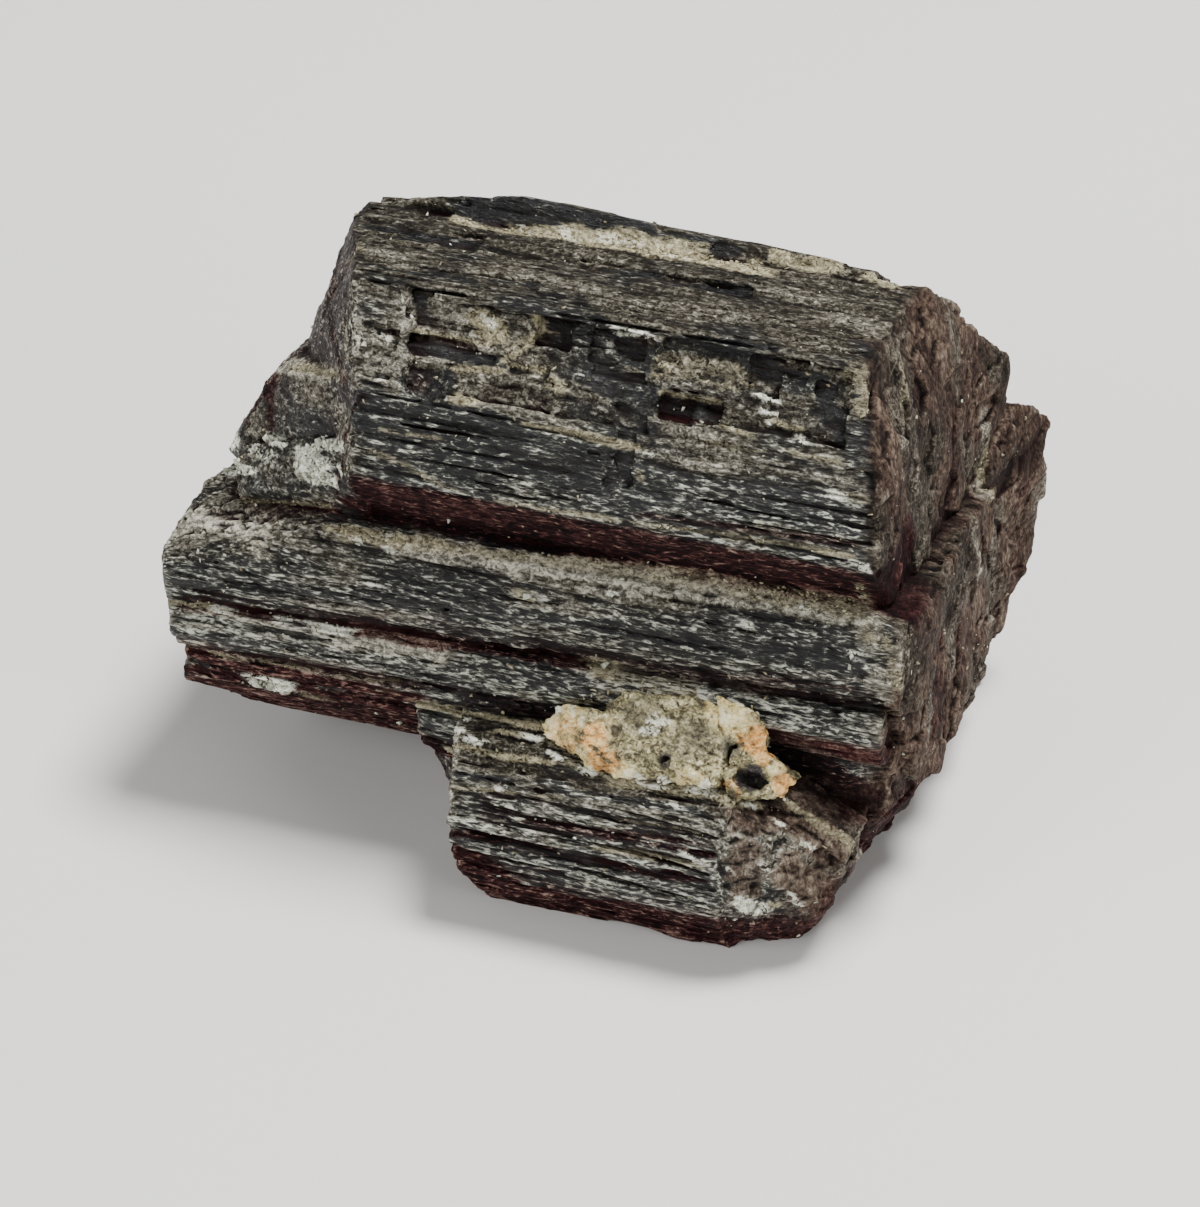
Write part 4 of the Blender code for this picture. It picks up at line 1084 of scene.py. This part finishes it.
def painted(obj, grid):
    """Gives each point of a stone piece what its material reads: how broken, dusty, light and marked it is, and where
    painted shade and a painted red reflection lie.
    """
    points, facing = surface_facts(obj)
    p = tuple(points.T.astype(np.float32))
    wander = 0.7 * noise(p, (2.2, 0.9, 0.9), 1) + 0.5 * noise(p, (0.8, 0.4, 0.4), 6)
    mottle = noise(p, (4.5, 2.0, 2.0), 4) + 0.6 * noise(p, (1.7, 0.9, 0.9), 2)
    streaks = noise(p, (9.0, 0.8, 0.8), 5)
    torn = noise(p, (2.6, 1.7, 4.2), 3, False) + 0.7 * noise(p, (1.0, 0.6, 1.9), 6, False)
    mask = {kind: stroke_mask(points, wander, marks) for kind, marks in MARKS.items()}
    end = grid.sample(grid.end, points)
    up, across = facing[:, 2], facing[:, 0]
    gap = np.clip(0.5 - grid.sample(grid.blurred((1, 2, 2), 0.5), points) / 0.16, 0, 1)
    hollow = np.clip(0.5 - grid.sample(grid.blurred((2, 4, 4), 0.8), points) / 0.5, 0, 1)
    nook = np.clip(0.5 - broad.sample(soft, points) / 1.6, 0, 1)
    # painted shade: darker in the grooves between needles and in pits and hollows, less under pale marks
    shade = np.maximum(0.92 * smoothstep(0.60, 0.92, gap), 0.62 * smoothstep(0.60, 0.80, hollow)) * (1 - 0.6 * mask["pale"])
    dust = 0.30 + 0.40 * smoothstep(0.20, 0.85, up) + 0.25 * end + 0.30 * mottle + 0.15 * streaks * (1 - end) + 0.35 * mask["dust"] - 0.8 * mask["dark"]
    wall = smoothstep(-0.40, -0.75, across) * smoothstep(33.0, 35.0, points[:, 2])  # the upper block's left end
    behind = (points[:, 1] - 13.6) * 0.8906 + (points[:, 2] - 34.1) * 0.4546 + 0.35 * wander  # the hollow under the upper block
    # painted shade in the hollow under the upper block
    hollow_under = smoothstep(-0.9, -0.4, behind) * smoothstep(34.4, 33.6, points[:, 2]) * smoothstep(27.0, 28.6, points[:, 2]) * smoothstep(-18.0, -16.8, points[:, 0]) * (points[:, 1] < 22)
    # painted shade with a painted red reflection on faces that look down, less towards the back
    below = smoothstep(-0.02, -0.45, up + 0.12 * wander) * (1 - 0.7 * smoothstep(24.0, 32.0, points[:, 1]))
    # painted shade with a painted red reflection: on faces that look down, under the marks for it, in nooks, on the
    # upper block's left end and in the hollow under it; less under pale marks
    shade_and_red_reflection = np.maximum.reduce([below, mask["shade_and_red_reflection_marks"], 0.5 * smoothstep(0.62, 0.85, nook), 0.45 * wall * (1 - mask["dust"]), hollow_under])
    shade_and_red_reflection = shade_and_red_reflection * (1 - 0.6 * mask["pale"])
    right = smoothstep(0.30, 0.70, across)
    olive = smoothstep(-0.22, 0.36, noise(p, (4.0, 2.8, 6.0), 0, False) + 0.3 * noise(p, (0.9, 0.7, 1.5), 1, False) + 0.8 * mask["dust"])
    brown = np.maximum(right * (1 - 0.70 * olive), mask["brown"])
    dust = np.maximum(dust, 0.8 * right) - 0.5 * wall * (1 - mask["dust"])
    # painted light: faces that look up are painted darker, most of all low on the stone, and faces below about 20 to 24
    # mm lighter, evening out the overhead light
    flat = smoothstep(0.55, 0.9, up) * (smoothstep(30.0, 40.0, points[:, 2]) + 2.4 * smoothstep(20.0, 18.0, points[:, 2])) - 0.6 * smoothstep(24.0, 20.0, points[:, 2])
    # the tone is also painted darker in nooks: painted shade
    tone = 0.52 + 0.10 * mottle * (1 - brown) + 0.17 * torn * right + 0.08 * streaks * (1 - end) + 0.20 * mask["dust"] - 0.22 * mask["dark"] - 0.12 * shade_and_red_reflection - 0.14 * flat - 0.10 * right - 0.16 * smoothstep(0.6, 0.8, nook) * (1 - mask["dust"]) + 0.10 * smoothstep(0.45, 0.2, gap)
    for kind, values in (
        ("end", end), ("shade", shade), ("dusty", np.clip(dust, 0, 1)), ("shade_and_red_reflection", shade_and_red_reflection), ("brown", np.clip(brown, 0, 1)),
        ("tone", tone), ("pale", mask["pale"]), ("white", mask["white"]),
    ):
        give(obj, kind, values)
    bake_map(obj, facing)


for obj in stones:
    painted(obj, grids[obj.name])

# ---------------------------------------------------------------- matrix and grains
def matrix_piece():
    """The feldspar and quartz lodged between the front and lower prisms, sugary, with a dark cavity."""
    c = np.array([corner for corners in LUMPS.values() for corner in corners])
    grid = Grid(c.min(0) - 0.7, c.max(0) + 0.7, (0.11, 0.11, 0.11))
    for corners in LUMPS.values():
        grid.add(*shape(corners))
    for s, q, z, wide, tall, deep in CAVITIES:
        corners = []
        for step in range(10):
            a = step * math.tau / 10
            x, y = wide * math.cos(a), tall * math.sin(a)
            for k, out in ((1.2, 2.0), (1.0, -0.3 * deep), (0.55, -deep)):
                corners.append((s + k * x + 0.2 * k * y, q + 0.7 * k * y - 0.7 * out, z + 0.7 * k * y + 0.7 * out))
        grid.cut(*shape(corners), 1.0, 0.12, 2)
    index, p = grid.band(1.0)
    first, second, number = worley(p, (1.0, 0.9, 0.9), 2)
    first2, second2, number2 = worley(p, (0.45, 0.42, 0.42), 5)
    move = 0.30 * noise(p, (2.6, 1.8, 1.8), 3) + 0.22 * (number - 0.5) + 0.30 * (first - 0.45) + 0.14 * (first2 - 0.45) + 0.10 * (number2 - 0.5)
    grid.field[index] += move.astype(np.float32)
    obj = thinned([mesh_object("matrix_feldspar_quartz", *biggest_part(*grid.mesh()))], 70000)[0]
    points = places(obj)
    p = tuple(points.T.astype(np.float32))
    wander = 0.5 * noise(p, (1.3, 1.0, 1.0), 1) + 0.35 * noise(p, (0.5, 0.45, 0.45), 6)
    for kind in ("orange", "cream", "grey", "black", "milky"):
        mask = np.zeros(len(points))
        for s, q, z, radius, strength in LUMP_MARKS[kind]:
            gap = np.linalg.norm((points - (s, q, z)) / radius, axis=1) + 0.45 * wander
            mask = np.maximum(mask, strength * smoothstep(1.15, 0.75, gap))
        give(obj, kind, mask)
    # how deep each point lies in a crevice, for painted shade
    give(obj, "gap", np.clip(0.5 - grid.sample(grid.blurred((3, 3, 3), 0.5), points) / 0.3, 0, 1))
    bake_map(obj, normals_of(obj))
    return obj


def templates(count, seed):
    """Small closed crystals: hulls of points scattered on a ball."""
    random = np.random.default_rng(seed)
    found = []
    for _ in range(count):
        points = random.normal(size=(8, 3))
        points /= np.linalg.norm(points, axis=1)[:, None]
        points *= random.uniform(0.75, 1.05, (8, 1))
        bm = bmesh.new()
        verts = [bm.verts.new(x) for x in points]
        hull = bmesh.ops.convex_hull(bm, input=verts)
        loose = {item for item in hull["geom_interior"] + hull["geom_unused"] if isinstance(item, bmesh.types.BMVert)}
        bmesh.ops.delete(bm, geom=list(loose), context="VERTS")
        bmesh.ops.recalc_face_normals(bm, faces=bm.faces)
        bmesh.ops.triangulate(bm, faces=bm.faces)
        bm.verts.index_update()
        found.append((np.array([v.co for v in bm.verts]), np.array([[v.index for v in f.verts] for f in bm.faces])))
        bm.free()
    return found


def turn_to(normal, angle):
    """A rotation whose third axis is the normal, spun about it."""
    n = normal / max(np.linalg.norm(normal), 1e-6)
    helper = np.array([1.0, 0, 0]) if abs(n[0]) < 0.8 else np.array([0, 1.0, 0])
    u = np.cross(helper, n)
    u /= np.linalg.norm(u)
    v = np.cross(n, u)
    return np.stack([math.cos(angle) * u + math.sin(angle) * v, -math.sin(angle) * u + math.cos(angle) * v, n], 1)


def grains_piece(name, spots, seed):
    """One mesh of many small crystals, each (place, outward direction, length, width, thickness)."""
    random = np.random.default_rng(seed)
    kinds = templates(14, seed)
    points, faces, total = [], [], 0
    for place, normal, size in spots:
        verts, tris = kinds[random.integers(len(kinds))]
        turn = turn_to(normal + random.normal(0, 0.25, 3), random.uniform(0, math.tau))
        points.append((verts * size) @ turn.T + place)
        faces.append(tris + total)
        total += len(verts)
    obj = mesh_object(name, np.concatenate(points), np.concatenate(faces))
    bake_map(obj, normals_of(obj))
    return obj


def spots_from(stone, marks, each, low, high, random):
    """Grain places on a stone piece, under its marks."""
    points, facing = surface_facts(stone)
    normals = normals_of(stone)
    shown = np.nonzero(~buried(points, stone.name))[0]
    found = []
    for *ends, radius, strength in marks:
        a, b = np.array(ends[:3]), np.array(ends[3:])
        mask = stroke_mask(points[shown], np.zeros(len(shown)), [(*ends, radius, 1.0)])
        under = shown[mask > 0.5]
        number = int(round(strength * each * (np.linalg.norm(b - a) + 2 * radius) * (0.3 + radius)))
        if len(under) < 20:
            continue
        for n in random.choice(under, max(1, number)):
            big = random.uniform(low, high) * min(1.0, 0.35 + radius)
            found.append((points[n] - normals[n] * big * 0.25, normals[n], (big * random.uniform(0.9, 1.6), big * random.uniform(0.7, 1.0), big * random.uniform(0.5, 0.9))))
    return found


def scattered(stone, number, low, high, random):
    points, facing = surface_facts(stone)
    normals = normals_of(stone)
    shown = np.nonzero(~buried(points, stone.name) & (points[:, 2] > 0.5))[0]
    found = []
    for n in random.choice(shown, number):
        if (facing[n, 0] > 0.35 or facing[n, 2] < -0.05) and random.random() < 0.75:
            continue
        big = low + (high - low) * random.random() ** 2.5
        found.append((points[n] - normals[n] * big * 0.3, normals[n], (big * random.uniform(0.9, 1.6), big * random.uniform(0.7, 1.0), big * random.uniform(0.4, 0.9))))
    return found


matrix = matrix_piece()
random = np.random.default_rng(7)
white_spots, cream_spots = [], []
for obj in stones:
    white_spots += spots_from(obj, MARKS["white"], 9.0, 0.14, 0.30, random) + scattered(obj, 170, 0.06, 0.26, random)
    cream_spots += spots_from(obj, MARKS["pale"], 5.0, 0.10, 0.26, random) + scattered(obj, 260, 0.07, 0.24, random)
for s, q, z, *size in BIG_GRAINS:
    place = np.array([s, q, z])
    away = np.array([broad.sample(part, place[None])[0] for part in slope])
    white_spots.append((place, away, tuple(size)))
white_grains = grains_piece("quartz_grains", white_spots, 11)
cream_grains = grains_piece("feldspar_grains", cream_spots, 12)


# ---------------------------------------------------------------- materials
class Nodes:
    """Short names for making a material's nodes."""

    def __init__(self, name):
        self.material = bpy.data.materials.new(name)
        self.material.use_nodes = True
        self.tree = self.material.node_tree
        self.shader = self.tree.nodes["Principled BSDF"]
        self.object = self.new("ShaderNodeTexCoord").outputs["Object"]

    def new(self, kind, **settings):
        node = self.tree.nodes.new(kind)
        for key, value in settings.items():
            setattr(node, key, value)
        return node

    def put(self, socket, value):
        if isinstance(value, bpy.types.NodeSocket):
            self.tree.links.new(value, socket)
        elif isinstance(value, tuple) and len(value) == 3 and socket.type == "RGBA":
            socket.default_value = (*value, 1)
        else:
            socket.default_value = value

    def attribute(self, name):
        return self.new("ShaderNodeAttribute", attribute_name=name).outputs["Fac"]

    def math(self, operation, a, b=0.0, clamp=False, plus=0.0):
        node = self.new("ShaderNodeMath", operation=operation, use_clamp=clamp)
        for socket, value in zip(node.inputs, (a, b, plus)):
            self.put(socket, value)
        return node.outputs[0]

    def span(self, value, low, high, out_low=0.0, out_high=1.0, smooth=True):
        node = self.new("ShaderNodeMapRange", interpolation_type="SMOOTHSTEP" if smooth else "LINEAR")
        for key, x in (("Value", value), ("From Min", low), ("From Max", high), ("To Min", out_low), ("To Max", out_high)):
            self.put(node.inputs[key], x)
        return node.outputs[0]

    def mix(self, factor, a, b, blend="MIX"):
        node = self.new("ShaderNodeMix", data_type="RGBA", blend_type=blend, clamp_factor=True)
        self.put(node.inputs[0], factor)
        self.put(node.inputs[6], a)
        self.put(node.inputs[7], b)
        return node.outputs[2]

    def blend(self, factor, a, b):
        node = self.new("ShaderNodeMix", data_type="FLOAT", clamp_factor=True)
        self.put(node.inputs[0], factor)
        self.put(node.inputs[2], a)
        self.put(node.inputs[3], b)
        return node.outputs[0]

    def scaled(self, cell, place=(0.0, 0.0, 0.0)):
        """Object coordinates measured in cells of (along, across, up) millimetres."""
        node = self.new("ShaderNodeMapping")
        self.put(node.inputs["Vector"], self.object)
        node.inputs["Location"].default_value = place
        node.inputs["Scale"].default_value = tuple(1000.0 / c for c in cell)
        return node.outputs[0]

    def noise(self, cell, detail=2.0, rough=0.55, warp=0.0, place=(0.0, 0.0, 0.0)):
        node = self.new("ShaderNodeTexNoise", noise_dimensions="3D")
        self.put(node.inputs["Vector"], self.scaled(cell, place))
        node.inputs["Scale"].default_value = 1.0
        node.inputs["Detail"].default_value = detail
        node.inputs["Roughness"].default_value = rough
        node.inputs["Distortion"].default_value = warp
        return node.outputs[0]

    def cells(self, cell, feature="F1", place=(0.0, 0.0, 0.0), random=1.0):
        node = self.new("ShaderNodeTexVoronoi", feature=feature)
        self.put(node.inputs["Vector"], self.scaled(cell, place))
        node.inputs["Scale"].default_value = 1.0
        node.inputs["Randomness"].default_value = random
        return node

    def ramp(self, value, *stops):
        node = self.new("ShaderNodeValToRGB")
        ramp = node.color_ramp
        while len(ramp.elements) < len(stops):
            ramp.elements.new(0.5)
        for element, (at, colour) in zip(ramp.elements, stops):
            element.position = at
            element.color = (*colour, 1)
        self.put(node.inputs[0], value)
        return node.outputs[0]

    def bump(self, height, distance, strength=1.0, onto=None):
        node = self.new("ShaderNodeBump")
        node.inputs["Distance"].default_value = distance
        self.put(node.inputs["Strength"], strength)
        self.put(node.inputs["Height"], height)
        if onto is not None:
            self.put(node.inputs["Normal"], onto)
        return node.outputs[0]


def srgb(*values):
    return tuple(((v / 255 + 0.055) / 1.055) ** 2.4 if v > 10.3 else v / 255 / 12.92 for v in values)


def schorl():
    n = Nodes("schorl")
    end, shade, dusty, shade_and_red_reflection, brown, tone, pale, white = (n.attribute(x) for x in ("end", "shade", "dusty", "shade_and_red_reflection", "brown", "tone", "pale", "white"))
    dashes = n.noise((0.85, 0.24, 0.24), 3, 0.68, 0.5)
    specks = n.noise((0.42, 0.34, 0.34), 3, 0.68, 0.9)
    upright = n.math("MULTIPLY_ADD", n.noise((0.36, 0.30, 0.62), 3, 0.70, 0.6), 0.62, plus=0.19)
    grain = n.blend(n.math("MAXIMUM", end, n.span(dusty, 0.35, 0.9, 0.0, 0.75)), dashes, specks)
    grain = n.blend(brown, grain, upright)
    level = n.math("MULTIPLY_ADD", n.math("SUBTRACT", grain, 0.5), n.span(dusty, 0.4, 0.9, 1.75, 1.35), plus=n.math("MULTIPLY_ADD", tone, 0.55, plus=0.225))
    clean = n.ramp(
        level,
        (0.34, srgb(6, 6, 7)),
        (0.45, srgb(16, 17, 17)),
        (0.54, srgb(42, 43, 39)),
        (0.64, srgb(87, 89, 83)),
        (0.80, srgb(190, 193, 179)),
    )
    dust = n.ramp(
        level,
        (0.30, srgb(17, 15, 12)),
        (0.44, srgb(44, 40, 32)),
        (0.55, srgb(81, 78, 69)),
        (0.66, srgb(123, 120, 109)),
        (0.82, srgb(194, 191, 175)),
    )
    colour = n.mix(n.span(dusty, 0.15, 0.85), clean, dust)
    earth = n.ramp(
        level,
        (0.26, srgb(14, 9, 8)),
        (0.40, srgb(43, 31, 27)),
        (0.53, srgb(75, 60, 51)),
        (0.66, srgb(108, 94, 81)),
        (0.84, srgb(166, 154, 136)),
    )
    colour = n.mix(n.math("MULTIPLY", brown, 0.9), colour, earth)
    # painted shade with a painted red reflection, for undersides, undercuts and grooves
    shade_and_red_reflection_colour = n.ramp(
        level,
        (0.34, srgb(10, 3, 4)),
        (0.46, srgb(31, 10, 12)),
        (0.56, srgb(54, 24, 26)),
        (0.66, srgb(84, 52, 48)),
        (0.84, srgb(142, 116, 102)),
    )
    colour = n.mix(n.math("MULTIPLY", shade_and_red_reflection, 0.92, True), colour, shade_and_red_reflection_colour)
    # pale crust and veins; its thin lines along some edges are painted highlights
    crust_and_lit_edges = n.ramp(
        specks,
        (0.32, srgb(78, 70, 52)),
        (0.43, srgb(124, 116, 92)),
        (0.53, srgb(153, 146, 119)),
        (0.66, srgb(202, 197, 166)),
    )
    colour = n.mix(n.math("MULTIPLY", pale, n.span(n.math("MULTIPLY_ADD", pale, 0.14, plus=grain), 0.44, 0.56), True), colour, crust_and_lit_edges)
    chalk = n.ramp(specks, (0.36, srgb(172, 172, 148)), (0.46, srgb(226, 227, 204)), (0.58, srgb(252, 252, 242)))
    colour = n.mix(n.math("MULTIPLY", white, n.span(n.math("MULTIPLY_ADD", white, 0.12, plus=specks), 0.47, 0.57), True), colour, chalk)
    # painted shade: near black in grooves and pits, dark red where shade with a red reflection is painted
    colour = n.mix(shade, colour, n.mix(shade_and_red_reflection, srgb(6, 5, 5), srgb(34, 9, 12)))
    n.put(n.shader.inputs["Base Color"], colour)
    dull = n.math("MAXIMUM", n.math("MAXIMUM", dusty, shade_and_red_reflection), brown)
    n.put(n.shader.inputs["Specular IOR Level"], n.span(dull, 0.1, 0.9, 0.28, 0.08))
    n.put(n.shader.inputs["Roughness"], n.span(dull, 0.1, 0.9, 0.36, 0.80))
    n.put(n.shader.inputs["Normal"], n.bump(grain, 0.00026, n.span(brown, 0.0, 1.0, 0.9, 0.75)))
    return n.material


def matrix_material():
    n = Nodes("feldspar_and_quartz")
    orange, cream, grey, black, milky, gap = (n.attribute(x) for x in ("orange", "cream", "grey", "black", "milky", "gap"))
    specks = n.noise((0.34, 0.30, 0.30), 3, 0.65, 0.9)
    veins = n.noise((1.3, 0.9, 0.9), 3, 0.6, 0.8)
    both = n.blend(0.5, specks, veins)
    colour = n.ramp(both, (0.37, srgb(34, 30, 20)), (0.45, srgb(92, 85, 58)), (0.53, srgb(166, 157, 114)), (0.62, srgb(232, 226, 186)))
    colour = n.mix(grey, colour, n.ramp(both, (0.36, srgb(52, 49, 38)), (0.50, srgb(104, 99, 78)), (0.64, srgb(160, 154, 124))))
    colour = n.mix(cream, colour, n.ramp(both, (0.36, srgb(146, 124, 72)), (0.48, srgb(236, 216, 150)), (0.60, srgb(254, 248, 212))))
    colour = n.mix(n.math("MULTIPLY", orange, n.span(veins, 0.36, 0.50), True), colour, n.ramp(both, (0.36, srgb(140, 90, 40)), (0.49, srgb(222, 158, 80)), (0.60, srgb(250, 216, 146))))
    colour = n.mix(n.math("MULTIPLY", milky, n.span(specks, 0.40, 0.50), True), colour, n.ramp(specks, (0.40, srgb(146, 146, 126)), (0.50, srgb(208, 208, 186)), (0.62, srgb(246, 246, 232))))
    # the black places, mostly the cavities, near black: painted shade
    colour = n.mix(black, colour, n.ramp(specks, (0.40, srgb(12, 9, 9)), (0.58, srgb(40, 32, 30)), (0.70, srgb(96, 86, 78))))
    # painted shade in the gaps between the grains
    colour = n.mix(n.span(gap, 0.58, 0.92, 0.0, 0.8), colour, srgb(34, 25, 17))
    n.put(n.shader.inputs["Base Color"], colour)
    n.put(n.shader.inputs["Roughness"], n.span(specks, 0.35, 0.65, 0.75, 0.35))
    n.put(n.shader.inputs["Normal"], n.bump(specks, 0.00030, 1.0))
    return n.material


def grain_material(name, low, mid, high, rough):
    n = Nodes(name)
    specks = n.noise((0.22, 0.22, 0.22), 3, 0.6, 0.5)
    broad_tone = n.noise((2.5, 1.5, 1.5), 2, 0.5, 0.0, (5, 2, 1))
    mixed = n.blend(0.5, specks, broad_tone)
    n.put(n.shader.inputs["Base Color"], n.ramp(mixed, (0.36, low), (0.50, mid), (0.64, high)))
    n.put(n.shader.inputs["Roughness"], n.span(specks, 0.35, 0.65, rough, rough + 0.3))
    n.put(n.shader.inputs["Normal"], n.bump(specks, 0.00006, 0.5))
    return n.material


black = schorl()
for obj in stones:
    obj.data.materials.append(black)
matrix.data.materials.append(matrix_material())
white_grains.data.materials.append(grain_material("quartz", srgb(120, 120, 106), srgb(184, 188, 170), srgb(236, 238, 226), 0.25))
cream_grains.data.materials.append(grain_material("feldspar", srgb(92, 84, 64), srgb(146, 138, 110), srgb(200, 192, 160), 0.45))
for obj in (*stones, matrix):
    obj.data.shade_smooth()
    obj.data.set_sharp_from_angle(angle=math.radians(46))
for obj in stones:
    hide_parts(NODE)
for obj in (*stones, matrix, white_grains, cream_grains):
    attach(obj, "root")


# ---------------------------------------------------------------- the room
def plain(name, colour, roughness):
    material = bpy.data.materials.new(name)
    material.use_nodes = True
    shader = material.node_tree.nodes["Principled BSDF"]
    shader.inputs["Base Color"].default_value = (*colour, 1)
    shader.inputs["Roughness"].default_value = roughness
    return material


def room():
    mesh = bpy.data.meshes.new("floor")
    mesh.from_pydata([(-3, -3, -0.00002), (3, -3, -0.00002), (3, 3, -0.00002), (-3, 3, -0.00002)], [], [(0, 1, 2, 3)])
    floor = bpy.data.objects.new("floor", mesh)
    bpy.context.scene.collection.objects.link(floor)
    floor.data.materials.append(plain("floor", (0.80, 0.79, 0.77), 0.6))
    world = bpy.data.worlds.new("studio")
    bpy.context.scene.world = world
    world.use_nodes = True
    world.node_tree.nodes["Background"].inputs["Color"].default_value = (1.0, 0.995, 0.99, 1)
    world.node_tree.nodes["Background"].inputs["Strength"].default_value = 0.2
    for name, place, size, power, colour in (
        ("key", (0.16, 0.10, 0.62), 0.22, 7.6, (1.0, 0.985, 0.98)),
        ("fill", (-0.35, -0.50, 0.35), 0.5, 2.9, (1.0, 0.985, 0.98)),
        ("side", (0.60, -0.25, 0.30), 0.4, 1.8, (1.0, 0.985, 0.98)),
    ):
        light = bpy.data.lights.new(name, "AREA")
        light.shape = "DISK"
        light.size = size
        light.energy = power
        light.color = colour
        lamp = bpy.data.objects.new(name, light)
        bpy.context.scene.collection.objects.link(lamp)
        lamp.location = place
        lamp.rotation_mode = "QUATERNION"
        lamp.rotation_quaternion = (Vector(place) - Vector((0, 0, 0.02))).to_track_quat("Z", "Y")


def camera():
    azimuth, elevation, distance = math.radians(17.0), math.radians(40.0), 330.0
    target = np.array([0.0, 20.0, 21.0])
    back = np.array([math.sin(azimuth) * math.cos(elevation), -math.cos(azimuth) * math.cos(elevation), math.sin(elevation)])
    data = bpy.data.cameras.new("camera")
    data.lens = 4400.0 / 1207.0 * 36.0
    data.sensor_width = 36.0
    data.clip_start, data.clip_end = 0.01, 20.0
    cam = bpy.data.objects.new("camera", data)
    bpy.context.scene.collection.objects.link(cam)
    cam.location = (target + back * distance - SHIFT) * MM
    cam.rotation_mode = "QUATERNION"
    cam.rotation_quaternion = Vector(back).to_track_quat("Z", "Y")
    bpy.context.scene.camera = cam


room()
camera()
